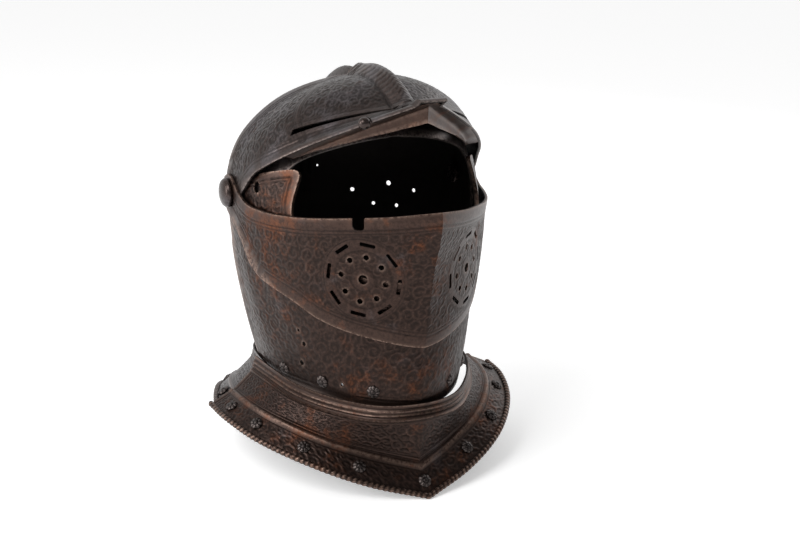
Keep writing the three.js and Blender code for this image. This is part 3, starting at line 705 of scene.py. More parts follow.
# ------------------------------------------------------------------ plates on forms
@dataclass
class FormPlate:
    """A plate swept about the pivot axis, cut to a side outline and tooled."""

    name: str
    body: str
    form: Form
    outline: list[list[float]]
    main: tuple[float, float]
    spacing: float
    seed: int
    slot: Slot
    rounding: float = 9.0
    ridge: Ridge | None = None
    band: float = 9.5
    flat_turn: float = 0.86
    roll: float = 0.7
    tooling: float = 0.5
    line_gap: float = 2.8

    def sheet(self) -> Sheet:
        """The form's surface as a fine grid with coarser rows away from the plate and near the pivot."""
        start, end = self.main
        widest = float(self.form.values(np.array([start, (start + end) / 2, end]))[:, 0].max())
        fine = math.degrees(self.spacing / widest)
        dense = 8 * math.ceil((end - start) / fine / 8)
        sparse = 8 * math.ceil((360 - (end - start)) / 4.0 / 8)
        angles = np.concatenate([np.linspace(start, end, dense, endpoint=False),
                                 np.linspace(end, start + 360, sparse, endpoint=False)])
        ts = self._columns((start + end) / 2)
        degrees, t = np.meshgrid(angles, ts, indexing="ij")
        reach, x = self.form.section(degrees, t)
        if self.ridge:
            keel = self.form.values(degrees)[..., 0]
            reach = self.ridge.raised(keel, reach, x, degrees)
        turn = np.radians(degrees)
        points = np.stack([x, -reach * np.cos(turn), reach * np.sin(turn)], -1)
        along = np.roll(points, -1, 0) - np.roll(points, 1, 0)
        across = np.gradient(points, axis=1)
        normals = np.cross(along, across)
        normals /= np.linalg.norm(normals, axis=-1, keepdims=True) + 1e-12
        if (normals * points).sum(-1).mean() < 0:
            normals = -normals
        steps = np.linalg.norm(np.diff(points, axis=1), axis=-1)
        middle = len(ts) // 2
        left = np.concatenate([np.zeros((len(angles), 1)), np.cumsum(steps[:, :middle], 1)], 1)
        right = np.concatenate([np.zeros((len(angles), 1)), np.cumsum(steps[:, middle:][:, ::-1], 1)], 1)
        length = np.concatenate([left, right[:, ::-1][:, 1:]], 1) + 3.5
        laid = turn * self.flat_turn
        flat = length[..., None] * np.stack([np.cos(laid), np.sin(laid)], -1)
        strides = self._strides(reach[:dense], math.radians(fine))
        faces = self._faces(len(angles), strides)
        count = points.shape[0] * points.shape[1]
        side = np.stack([-points[..., 1], points[..., 2]], -1).reshape(-1, 2)
        gap = outline_distance(side, softened(self.outline, self.rounding))
        made = Sheet(points.reshape(-1, 3), normals.reshape(-1, 3), flat.reshape(-1, 2), faces, gap)
        made.extra = {"edge": -gap, "degrees": degrees.ravel(), "wear": np.zeros(count)}
        return made

    def _columns(self, degrees: float) -> Array:
        """Section places for an even spacing, denser at the keel, up to the bolt hole."""
        t = np.linspace(0.0, 1.0, 2001)
        reach, x = self.form.section(np.full_like(t, degrees), t)
        t = t[reach > 3.5]
        reach, x = reach[:len(t)], x[:len(t)]
        steps = np.hypot(np.diff(reach), np.diff(x))
        steps = steps * np.where(x[1:] < 11.0, 1.8 if self.ridge else 1.0, 1.0)
        length = np.concatenate([[0.0], np.cumsum(steps)])
        count = math.ceil(length[-1] / self.spacing)
        half = np.interp(np.linspace(0, length[-1], count + 1), length, t)
        return np.concatenate([-half[::-1], half[1:]])

    def _strides(self, reach: Array, step: float) -> Array:
        """Rows left out in each column so that rows keep their spacing towards the pivot."""
        gaps = reach.mean(0) * step
        strides = np.ones(len(gaps), int)
        for stride in (2, 4, 8):
            strides[gaps * stride <= 1.25 * self.spacing] = stride
        return strides

    @staticmethod
    def _faces(rows: int, strides: Array) -> Array:
        """Triangles of the grid, closed round the axis, joining columns of different strides."""
        columns = len(strides)
        parts = []
        for j in range(columns - 1):
            a, b = int(strides[j]), int(strides[j + 1])
            coarse = max(a, b)
            i = np.arange(0, rows, coarse)
            end = (i + coarse) % rows
            here, there = i * columns + j, i * columns + j + 1
            here_end, there_end = end * columns + j, end * columns + j + 1
            if a == b:
                parts += [np.stack([here, there, there_end], 1), np.stack([here, there_end, here_end], 1)]
            elif a < b:
                mid = (i + coarse // 2) % rows * columns + j
                parts += [np.stack([here, there, mid], 1), np.stack([mid, there, there_end], 1),
                          np.stack([mid, there_end, here_end], 1)]
            else:
                mid = (i + coarse // 2) % rows * columns + j + 1
                parts += [np.stack([here, there, mid], 1), np.stack([here, mid, here_end], 1),
                          np.stack([mid, there_end, here_end], 1)]
        return np.vstack(parts)

    def pierce(self, sheet: Sheet) -> None:
        """Opens the plate's holes; the bolt hole is common to all plates."""
        radial = np.hypot(sheet.points[:, 1], sheet.points[:, 2])
        sheet.gap = np.maximum(sheet.gap, BOLT_HOLE - radial)

    def lines(self, sheet: Sheet) -> tuple[Array, Array]:
        """Incised lines and how much foliage each point carries.

        Args:
            sheet: The clipped sheet.

        Returns:
            Depth of the lines from 0 to 1, and the share of foliage from 0 to 1.
        """
        edge = sheet.extra["edge"]
        cuts = groove(edge, self.band, 0.62) + groove(edge, self.band + self.line_gap, 0.62)
        return cuts, smooth(self.band + self.line_gap + 0.6, self.band + self.line_gap + 1.8, edge)

    def build(self, finish: bpy.types.Material) -> bpy.types.Object:
        """Sweeps, cuts, tools and thickens the plate.

        Args:
            finish: Material of the plate.

        Returns:
            The plate, riding on its body.
        """
        whole = self.sheet()
        self.pierce(whole)
        sheet = whole.clipped()
        if sheet.normals[sheet.faces[0]].sum(0) @ np.cross(
                *(sheet.points[sheet.faces[0, 1:]] - sheet.points[sheet.faces[0, 0]])) < 0:
            sheet.faces = sheet.faces[:, ::-1]
        cuts, share = self.lines(sheet)
        leaves = Foliage(sheet.flat[share > 0.05], self.seed).height(sheet.flat)
        height = 0.86 * (1 - share) + share * leaves
        if self.ridge:
            height = self._roped(sheet, height)
        height = np.clip(height - 0.85 * np.clip(cuts, 0, 1), 0, 1)
        # The relief also sets the painted shade of the finish in the sunk tooling.
        sheet.extra["relief"] = height
        near = np.exp(-np.maximum(sheet.extra["edge"], 0) / 0.9)
        sheet.extra["wear"] = np.clip(np.maximum(sheet.extra["wear"], near), 0, 1)
        edge = np.maximum(sheet.extra["edge"], 0)
        thickness = PLATE + self.roll * np.exp(-(edge / 2.2) ** 2)
        attributes = {k: sheet.extra[k] for k in ("relief", "wear")}
        sheet.extra = attributes
        piece = sheet.to_mesh(f"{self.name}_plate", self.tooling * (1 - height), thickness)
        dress(piece, self.body, finish, self.slot, self.name)
        return piece

    def _roped(self, sheet: Sheet, height: Array) -> Array:
        """Puts slanting cuts on the ridge in place of foliage."""
        ridge = self.ridge
        x = np.abs(sheet.points[:, 0])
        reach = np.hypot(sheet.points[:, 1], sheet.points[:, 2])
        standing = ridge.fade(sheet.extra["degrees"]) > 0.12
        on = np.where(standing, 1 - smooth(ridge.half_width * 0.96, ridge.half_width * 1.06, x), 0.0)
        along = np.radians(sheet.extra["degrees"]) * reach
        wave = 0.5 + 0.5 * np.cos(
            2 * math.pi * (along / ridge.rope_pitch + ridge.slant * x / ridge.rope_pitch))
        roped = 1.0 - ridge.depth * (1 - wave ** 0.6)
        foot = np.where(standing, groove(x, ridge.half_width * 1.13, 0.8), 0.0)
        return np.clip(height * (1 - on) + roped * on - 0.7 * foot, 0, 1)


def mirrored_x(points: Array) -> Array:
    """Points folded onto the wearer's right side."""
    folded = points.copy()
    folded[:, 0] = -np.abs(folded[:, 0])
    return folded


class Skull(FormPlate):
    """The skull with its comb, neck and ventilation holes."""

    EAR_HOLES = [(198.0, 0.27, 1.9), (197.0, 0.485, 2.3), (206.5, 0.64, 1.9), (207.5, 0.385, 1.7),
                 (213.0, 0.52, 1.8)]
    COMB_HOLE = (184.0, 0.07, 1.2)

    def pierce(self, sheet: Sheet) -> None:
        """Opens the cluster of holes behind each ear and the one beside the comb."""
        super().pierce(sheet)
        holes = [self.COMB_HOLE, *self.EAR_HOLES, *((a, -t, radius) for a, t, radius in self.EAR_HOLES)]
        for degrees, t, radius in holes:
            sheet.drill(self.form.point(degrees, t), self.form.normal(degrees, t), radius)


class Visor(FormPlate):
    """The raised visor with its slits, panel band and ledge."""

    SLIT = [[61.5, 54.5], [108, 79.6], [107.6, 81], [60, 58.8]]
    BRIDGE = 5.5
    PANEL = np.array([[-70, -73.5, 53.5], [-70.1, -66, 59.4], [-70, -62.5, 61.5], [-68, -54.6, 67.5],
                      [-62.3, -47.5, 74.5], [-52.9, -40.3, 80.8], [-37.8, -27.1, 86.1],
                      [-24.2, -19.6, 88.4], [-12, -15.5, 91]], float)

    def pierce(self, sheet: Sheet) -> None:
        """Opens the slit on each side of the ridge."""
        super().pierce(sheet)
        side = np.stack([-sheet.points[:, 1], sheet.points[:, 2]], 1)
        slit = outline_distance(side, np.array(self.SLIT, float))
        opened = np.maximum(slit, self.BRIDGE - np.abs(sheet.points[:, 0]))
        sheet.gap = np.maximum(sheet.gap, -opened)
        sheet.extra["slit"] = slit

    def lines(self, sheet: Sheet) -> tuple[Array, Array]:
        """Adds the band that frames the panel in front and the lines along the slit."""
        cuts, share = super().lines(sheet)
        panel = line_distance(mirrored_x(sheet.points), self.PANEL)
        cuts = cuts + groove(panel, 3.2, 0.6) + groove(panel, 1.4, 0.5) * 0.7
        plain = smooth(3.6, 4.6, panel)
        slit = sheet.extra["slit"]
        front = (np.abs(sheet.points[:, 0]) < 72) & (slit < 14)
        cuts = cuts + np.where(front, groove(slit, 3.6, 0.55) + 0.7 * groove(slit, 5.4, 0.5), 0.0)
        plain = plain * np.where(front, smooth(5.6, 6.6, slit), 1.0)
        return cuts, share * plain


class UpperBevor(FormPlate):
    """The upper bevor with its breath rosettes and the notch of its rim."""

    ROSETTE = (-19.4, 0.29)
    HOLE_CIRCLE = 17.3
    SLOT_CIRCLE = 27.3
    TURN = 8.0
    NOTCH_WIDTH = 9.4
    NOTCH_PLACE = (0.0, -0.3)

    def pierce(self, sheet: Sheet) -> None:
        """Opens a ring of holes within a ring of slots on each side, and the notch."""
        super().pierce(sheet)
        sheet.extra["rosette"] = np.full(len(sheet.points), 99.0)
        for side in (-1, 1):
            centre = self.form.point(self.ROSETTE[0], side * self.ROSETTE[1])
            normal = self.form.normal(self.ROSETTE[0], side * self.ROSETTE[1])
            right = np.cross([0, 0, 1.0], normal)
            right /= np.linalg.norm(right)
            up = np.cross(normal, right)
            sheet.drill(centre, normal, 3.6)
            near = np.linalg.norm(sheet.points - centre, axis=1)
            sheet.extra["rosette"] = np.minimum(sheet.extra["rosette"], near)
            for k in range(8):
                angle = math.radians(side * self.TURN + 45 * k)
                radial = right * math.cos(angle) + up * math.sin(angle)
                sheet.drill(centre + radial * self.HOLE_CIRCLE, normal, 2.15)
                sheet.punch(centre + radial * self.SLOT_CIRCLE, radial, np.cross(normal, radial), (1.5, 6.0))
        centre = self.form.point(*self.NOTCH_PLACE) + np.array([0, 0, 4.5])
        normal = self.form.normal(*self.NOTCH_PLACE)
        across = np.array([-normal[1], normal[0], 0.0])
        across /= np.linalg.norm(across)
        sheet.punch(centre, across, np.array([0, 0, 1.0]), (self.NOTCH_WIDTH / 2, 10.0), 3.2)

    def lines(self, sheet: Sheet) -> tuple[Array, Array]:
        """Adds the rings and petals of the rosette."""
        cuts, share = super().lines(sheet)
        radius = sheet.extra["rosette"]
        for ring in (9.0, 22.3, 31.6, 33.6):
            cuts = cuts + 0.8 * groove(radius, ring, 0.55)
        share = share * np.where(radius < 34.2, np.where((radius > 9.6) & (radius < 22), 0.8, 0.25), 1.0)
        return cuts, share


class LowerBevor(FormPlate):
    """The lower bevor with cheek plates, lacing holes and a rolled front edge."""

    LACING = [(-54.0, -0.545, 2.0, 1.0), (-60.0, -0.53, 2.0, 1.3), (-52.0, -0.38, 1.4, 1.0),
              (-52.5, -0.575, 1.3, 1.0), (-37.5, -0.44, 1.4, 1.0)]
    PITS = [(-41.0, -0.045, 1.7), (-42.8, -0.012, 2.1), (-36.2, -0.105, 1.3)]
    CHEEK_HOLE = (17.0, 0.78, 3.5, 1.25)

    def pierce(self, sheet: Sheet) -> None:
        """Opens the lacing holes and the oval hole of each cheek."""
        super().pierce(sheet)
        degrees, t, radius, stretch = self.CHEEK_HOLE
        holes = [*self.LACING, self.CHEEK_HOLE, (degrees, -t, radius, stretch)]
        for degrees, t, radius, stretch in holes:
            centre = self.form.point(degrees, t)
            sheet.drill(centre, self.form.normal(degrees, t), radius, stretch)

    def lines(self, sheet: Sheet) -> tuple[Array, Array]:
        """Adds the pits near the ridge, which do not go through and are darkened by the finish's painted shade."""
        cuts, share = super().lines(sheet)
        for degrees, t, radius in self.PITS:
            distance = np.linalg.norm(sheet.points - self.form.point(degrees, t), axis=1)
            pit = 1 - smooth(radius - 0.5, radius + 0.3, distance)
            cuts = cuts + 2.2 * pit
            share = share * (1 - pit)
        return cuts, share


# ------------------------------------------------------------------ gorget
class Centripetal:
    """A centripetal Catmull-Rom curve through few points."""

    def __init__(self, points: Array) -> None:
        """Keeps the points, with one more past each end."""
        first, last = 2 * points[0] - points[1], 2 * points[-1] - points[-2]
        self.points = np.vstack([first, points, last])

    def at(self, place: Array) -> Array:
        """Positions at places counted in points from the first."""
        i = np.clip(place.astype(int), 0, len(self.points) - 4)
        t = (place - i)[:, None]
        p0, p1, p2, p3 = (self.points[i + k] for k in range(4))

        def gap(a: Array, b: Array) -> Array:
            return np.maximum(((a - b) ** 2).sum(1), 1e-8)[:, None] ** 0.25

        d0, d1, d2 = gap(p0, p1), gap(p1, p2), gap(p2, p3)
        m1 = ((p1 - p0) / d0 - (p2 - p0) / (d0 + d1) + (p2 - p1) / d1) * d1
        m2 = ((p2 - p1) / d1 - (p3 - p1) / (d1 + d2) + (p3 - p2) / d2) * d1
        rise = p2 - p1
        return p1 + t * (m1 + t * (3 * rise - 2 * m1 - m2 + t * (m1 + m2 - 2 * rise)))


@dataclass
class GorgetPlate:
    """A gorget plate between half curves, from its collar to its roped rim."""

    name: str
    body: str
    curves: dict[str, list[list[float]]]
    keeled: tuple[str, ...]
    seed: int
    slot: Slot
    rivets: tuple[float, ...]
    spacing: float = 0.85
    tooling: float = 0.5

    MOULDINGS = ((0.0, 0.8, 0.10), (0.42, 0.75, 0.09), (0.70, 0.75, 0.08), (1.0, 1.5, 0.055),
                 (2.10, 1.35, 0.085))
    RIVET_ROW = 2.545
    CUTS = ((0.26, 0.05), (0.57, 0.05), (0.84, 0.045), (1.085, 0.02), (1.865, 0.014), (1.915, 0.014),
            (1.975, 0.018), (2.24, 0.03), (2.90, 0.035))

    def spot(self, name: str, s: Array) -> Array:
        """Positions on one curve at places from -1 by the middle to 1."""
        half = np.array([[x, -f, u] for x, f, u in self.curves[name]], float)
        lead = 0
        if name not in self.keeled:
            half = np.vstack([half[1] * [-1, 1, 1], half])
            lead = 1
        segments = len(self.curves[name]) - 1
        found = Centripetal(half).at(lead + np.abs(s) * segments)
        found[:, 0] *= np.where(s < 0, -1.0, 1.0)
        return found

    def base(self, s: Array, w: Array) -> Array:
        """Positions at s and w, where w runs 0 collar, 1 base, 2 border, 3 rim."""
        curves = [self.spot(n, s.ravel()).reshape(*s.shape, 3) for n in ("collar", "base", "border", "rim")]
        stack = np.stack(curves)
        k = np.clip(w.astype(int), 0, 2)
        t = (w - k)[..., None]
        low = np.take_along_axis(stack, k[None, ..., None], 0)[0]
        high = np.take_along_axis(stack, k[None, ..., None] + 1, 0)[0]
        bulge = np.where(k == 1, -0.55 * np.sin(np.pi * np.clip(w - 1, 0, 1)), 0.0)[..., None]
        direction = low * [1, 1, 0]
        direction /= np.linalg.norm(direction, axis=-1, keepdims=True) + 1e-9
        return low + t * (high - low) + bulge * direction

    def surface(self, s: Array, w: Array) -> tuple[Array, Array]:
        """Outer surface and its normals over a grid of s and w."""
        points = self.base(s, w)
        along, across = np.gradient(points, axis=0), np.gradient(points, axis=1)
        normals = np.cross(along, across)
        normals /= np.linalg.norm(normals, axis=-1, keepdims=True) + 1e-12
        if normals[..., 2].mean() < 0:
            normals = -normals
        lift = sum(h * np.exp(-((w - at) / half) ** 2) for at, h, half in self.MOULDINGS)
        return points + normals * lift[..., None], normals

    def build(self, finish: bpy.types.Material) -> bpy.types.Object:
        """Builds the plate.

        Args:
            finish: Material of the plate.

        Returns:
            The plate, riding on its body.
        """
        length = 2 * sum(np.linalg.norm(np.diff(np.array(self.curves["border"]), axis=0), axis=1))
        rows = 2 * math.ceil(length / self.spacing / 2) + 1
        widths = [11.5, 41.0, 28.0]
        ws = np.concatenate([np.arange(0, 1, self.spacing / widths[0] * 0.8),
                             np.arange(1, 2, self.spacing / widths[1]),
                             np.arange(2, 3, self.spacing / widths[2]), [3.0]])
        s, w = np.meshgrid(np.linspace(-1, 1, rows), ws, indexing="ij")
        points, normals = self.surface(s, w)
        distance = np.interp(w, [0, 1, 2, 3], np.concatenate([[0], np.cumsum(widths)]))
        flat = np.stack([np.abs(s) * length / 2, distance], -1)
        index = np.arange(rows * len(ws)).reshape(rows, len(ws))
        a, b, c, d = index[:-1, :-1], index[1:, :-1], index[1:, 1:], index[:-1, 1:]
        faces = np.concatenate([np.stack(corner, -1).reshape(-1, 3) for corner in ([a, b, c], [a, c, d])])
        flow = points.reshape(-1, 3)
        first = faces[len(faces) // 3]
        turned = np.cross(flow[first[1]] - flow[first[0]], flow[first[2]] - flow[first[0]])
        if turned @ normals.reshape(-1, 3)[first[0]] < 0:
            faces = faces[:, ::-1]
        sheet = Sheet(flow, normals.reshape(-1, 3), flat.reshape(-1, 2), faces, np.full(flow.shape[0], -1.0))
        w, s = w.ravel(), s.ravel()
        leaf = (smooth(1.12, 1.15, w) * (1 - smooth(1.82, 1.85, w))
                + smooth(2.28, 2.32, w) * (1 - smooth(2.84, 2.88, w)))
        ends = (1 - np.abs(s)) * length / 2
        leaf = leaf * smooth(6.0, 7.2, ends)
        cuts = sum(np.exp(-((w - at) / half) ** 2) for at, half in self.CUTS)
        cuts = cuts + groove(ends, 4.4, 0.6) * smooth(1.1, 1.14, w)
        leaves = Foliage(sheet.flat[leaf > 0.05], self.seed, pitch=13.0).height(sheet.flat)
        height = np.clip(0.86 * (1 - leaf) + leaf * leaves - 0.85 * np.clip(cuts, 0, 1), 0, 1)
        ridges = sum(np.exp(-((w - at) / half) ** 2) for at, _, half in self.MOULDINGS)
        worn = np.clip(0.55 * ridges + np.exp(-ends / 0.8), 0, 1)
        # The relief also sets the painted shade of the finish in the cuts and ground.
        sheet.extra = {"relief": height, "wear": worn}
        piece = sheet.to_mesh(f"{self.name}_plate", self.tooling * (1 - height), np.full(len(w), PLATE))
        dress(piece, self.body, finish, self.slot, self.name)
        return piece

    def rim_line(self) -> Array:
        """Middle line of the rolled rim."""
        s = np.linspace(-1, 1, 241)
        return self.spot("rim", s)

    def rivet_places(self) -> tuple[Array, Array]:
        """Positions and directions of the plate's rivets."""
        spots, directions = [], []
        w = self.RIVET_ROW
        for s in self.rivets:
            grid_s, grid_w = np.meshgrid([s - 0.01, s, s + 0.01], [w - 0.02, w, w + 0.02], indexing="ij")
            points, normals = self.surface(np.clip(grid_s, -1, 1), grid_w)
            spots.append(points[1, 1])
            directions.append(normals[1, 1])
        return np.array(spots), np.array(directions)


FRONT_CURVES = {
    "collar": [[0, 141.5, -141], [31, 130, -142.5], [57, 102, -142], [74.5, 70, -140], [82, 38, -137.5],
              [86.2, 8, -136]],
    "base": [[0, 142.5, -152], [32, 132, -154], [59, 103, -154], [78, 70, -151], [86, 38, -148],
              [90.4, 9, -147]],
    "border": [[0, 137.5, -191.5], [34.4, 121.5, -183], [66, 102, -173.5], [91.5, 71.5, -164],
              [102.5, 42, -161],
              [106.5, 10, -160.5]],
    "rim": [[0, 155, RIM_CENTRE], [42.7, 140, -201], [80, 117, -188], [110, 79, -177.5], [123.5, 42, -171],
              [126.5, 12, -169.5]],
}
REAR_CURVES = {
    "collar": [[0, -79, -140], [30, -73, -140], [58, -51, -139], [77.4, -22, -138], [82.4, 10, -137.5],
              [82.6, 22, -137.5]],
    "base": [[0, -83, -151], [32, -77, -151], [59, -54, -150], [79.2, -22, -149], [86.2, 10, -149],
              [86.6, 22, -149]],
    "border": [[0, -102, -189], [40, -95, -188], [71, -72, -177], [92, -38, -169], [101.6, 2, -165.8],
              [102, 20, -165.8]],
    "rim": [[0, -119, RIM_CENTRE], [46, -112, RIM_CENTRE], [78, -86, -194], [101, -47, -179.5],
            [118, 2, -175.2],
              [119.5, 20, -175.6]],
}


# ------------------------------------------------------------------ geometry node trees
class NodeTree:
    """A Geometry Nodes tree with named inputs, run once on a piece."""

    def __init__(self, name: str, inputs: list[tuple[str, str, float | None]]) -> None:
        """Makes the tree with a geometry in and out and the named inputs.

        Args:
            name: Tree name.
            inputs: Input name, socket type and default.
        """
        self.tree = bpy.data.node_groups.new(name, "GeometryNodeTree")
        face = self.tree.interface
        face.new_socket("Geometry", in_out="INPUT", socket_type="NodeSocketGeometry")
        face.new_socket("Geometry", in_out="OUTPUT", socket_type="NodeSocketGeometry")
        for label, kind, default in inputs:
            socket = face.new_socket(label, in_out="INPUT", socket_type=kind)
            if default is not None:
                socket.default_value = default
        self.source = self.tree.nodes.new("NodeGroupInput")
        self.sink = self.tree.nodes.new("NodeGroupOutput")

    def node(self, kind: str, values: dict | None = None, **settings):
        """Adds a node, with settings on it and sockets or numbers on its inputs."""
        made = self.tree.nodes.new(kind)
        for key, value in settings.items():
            setattr(made, key, value)
        for key, value in (values or {}).items():
            if isinstance(value, bpy.types.NodeSocket):
                self.tree.links.new(value, made.inputs[key])
            else:
                made.inputs[key].default_value = value
        return made

    def calc(self, operation: str, *values):
        """Adds a math node and returns its output."""
        return self.node("ShaderNodeMath", dict(enumerate(values)), operation=operation).outputs[0]

    def close(self, geometry, material) -> None:
        """Ends the tree in Realize Instances and Set Material."""
        real = self.node("GeometryNodeRealizeInstances", {"Geometry": geometry})
        painted = self.node("GeometryNodeSetMaterial", {"Geometry": real.outputs[0], "Material": material})
        self.tree.links.new(painted.outputs[0], self.sink.inputs[0])

    def run(self, source: bpy.types.Object, values: dict[str, object], name: str) -> bpy.types.Object:
        """Runs the tree on an object and keeps only its result.

        Args:
            source: Object whose mesh feeds the tree; it is removed.
            values: Named input values.
            name: Name of the result.

        Returns:
            A plain mesh object.
        """
        modifier = source.modifiers.new(self.tree.name, "NODES")
        modifier.node_group = self.tree
        names = {i.name: i.identifier for i in self.tree.interface.items_tree
                 if i.item_type == "SOCKET" and i.in_out == "INPUT"}
        for label, value in values.items():
            modifier[names[label]] = value
        source.update_tag()
        graph = bpy.context.evaluated_depsgraph_get()
        mesh = bpy.data.meshes.new_from_object(source.evaluated_get(graph), preserve_all_data_layers=True,
                                               depsgraph=graph)
        mesh.name = name
        bpy.data.objects.remove(source)
        result = bpy.data.objects.new(name, mesh)
        bpy.context.scene.collection.objects.link(result)
        return result


@dataclass
class RopedRim:
    """A rolled rim tooled as a twisted rope."""

    radius: float = 0.0022
    pitch: float = 0.0042
    depth: float = 0.0006

    def tree(self) -> NodeTree:
        """Makes the tree: a tube along the line with slanting strands."""
        nodes = NodeTree("roped_rim", [("Radius", "NodeSocketFloat", self.radius),
                                       ("Strand pitch", "NodeSocketFloat", self.pitch),
                                       ("Strand depth", "NodeSocketFloat", self.depth),
                                       ("Material", "NodeSocketMaterial", None)])
        given = nodes.source.outputs
        curve = nodes.node("GeometryNodeMeshToCurve", {"Mesh": given["Geometry"]})
        even = nodes.node(
            "GeometryNodeResampleCurve", {"Curve": curve.outputs[0], "Length": 0.0007}, mode="LENGTH")
        place = nodes.node("GeometryNodeSplineParameter")
        along = nodes.node("GeometryNodeCaptureAttribute", {"Geometry": even.outputs[0]})
        along.capture_items.new("FLOAT", "Along")
        nodes.tree.links.new(place.outputs["Length"], along.inputs[1])
        ring = nodes.node("GeometryNodeCurvePrimitiveCircle", {"Resolution": 14, "Radius": given["Radius"]})
        turn = nodes.node("GeometryNodeSplineParameter")
        around = nodes.node("GeometryNodeCaptureAttribute", {"Geometry": ring.outputs[0]})
        around.capture_items.new("FLOAT", "Around")
        nodes.tree.links.new(turn.outputs["Factor"], around.inputs[1])
        tube = nodes.node("GeometryNodeCurveToMesh", {"Curve": along.outputs[0], "Profile Curve": around.outputs[0],
                                                      "Fill Caps": True})
        strands = nodes.calc("ADD", nodes.calc("DIVIDE", along.outputs[1], given["Strand pitch"]),
                             around.outputs[1])
        wave = nodes.calc("ABSOLUTE", nodes.calc("SINE", nodes.calc("MULTIPLY", strands, math.pi)))
        sunk = nodes.calc("MULTIPLY", nodes.calc("SUBTRACT", wave, 0.75), given["Strand depth"])
        normal = nodes.node("GeometryNodeInputNormal")
        offset = nodes.node("ShaderNodeVectorMath", {0: normal.outputs[0]}, operation="SCALE")
        nodes.tree.links.new(sunk, offset.inputs["Scale"])
        # The strand relief also sets the painted shade in the grooves between strands.
        store = nodes.node("GeometryNodeStoreNamedAttribute",
                           {"Geometry": tube.outputs[0], "Name": "relief", "Value": wave},
                           data_type="FLOAT", domain="POINT")
        crest = nodes.calc("POWER", wave, 3.0)
        rub = nodes.node("GeometryNodeStoreNamedAttribute",
                         {"Geometry": store.outputs[0], "Name": "wear", "Value": crest},
                         data_type="FLOAT", domain="POINT")
        moved = nodes.node("GeometryNodeSetPosition", {
            "Geometry": rub.outputs[0], "Offset": offset.outputs[0]})
        nodes.close(moved.outputs[0], given["Material"])
        return nodes

    def build(self, name: str, line: Array, body: str, finish: bpy.types.Material,
              slot: Slot) -> bpy.types.Object:
        """Makes one roped rim along a line.

        Args:
            name: Name of the piece.
            line: Points of its middle line.
            body: Body it rides on.
            finish: Its material.
            slot: Its record slot.

        Returns:
            The rim.
        """
        mesh = bpy.data.meshes.new(name + "_line")
        edges = [(k, k + 1) for k in range(len(line) - 1)]
        mesh.from_pydata([tuple(p) for p in (line + PIVOT) / 1000.0], edges, [])
        source = bpy.data.objects.new(name + "_line", mesh)
        bpy.context.scene.collection.objects.link(source)
        piece = self.tree().run(source, {"Material": finish}, name)
        rest_on_ground(piece)
        dress(piece, body, finish, slot)
        return piece


def rest_on_ground(piece: bpy.types.Object) -> None:
    """Flattens what would reach below the ground and smooths the faces."""
    count = len(piece.data.vertices)
    places = np.zeros(count * 3, np.float32)
    piece.data.vertices.foreach_get("co", places)
    places = places.reshape(-1, 3)
    places[:, 2] = np.maximum(places[:, 2], 0.0)
    piece.data.vertices.foreach_set("co", places.ravel())
    piece.data.polygons.foreach_set("use_smooth", np.ones(len(piece.data.polygons), bool))
    piece.data.update()


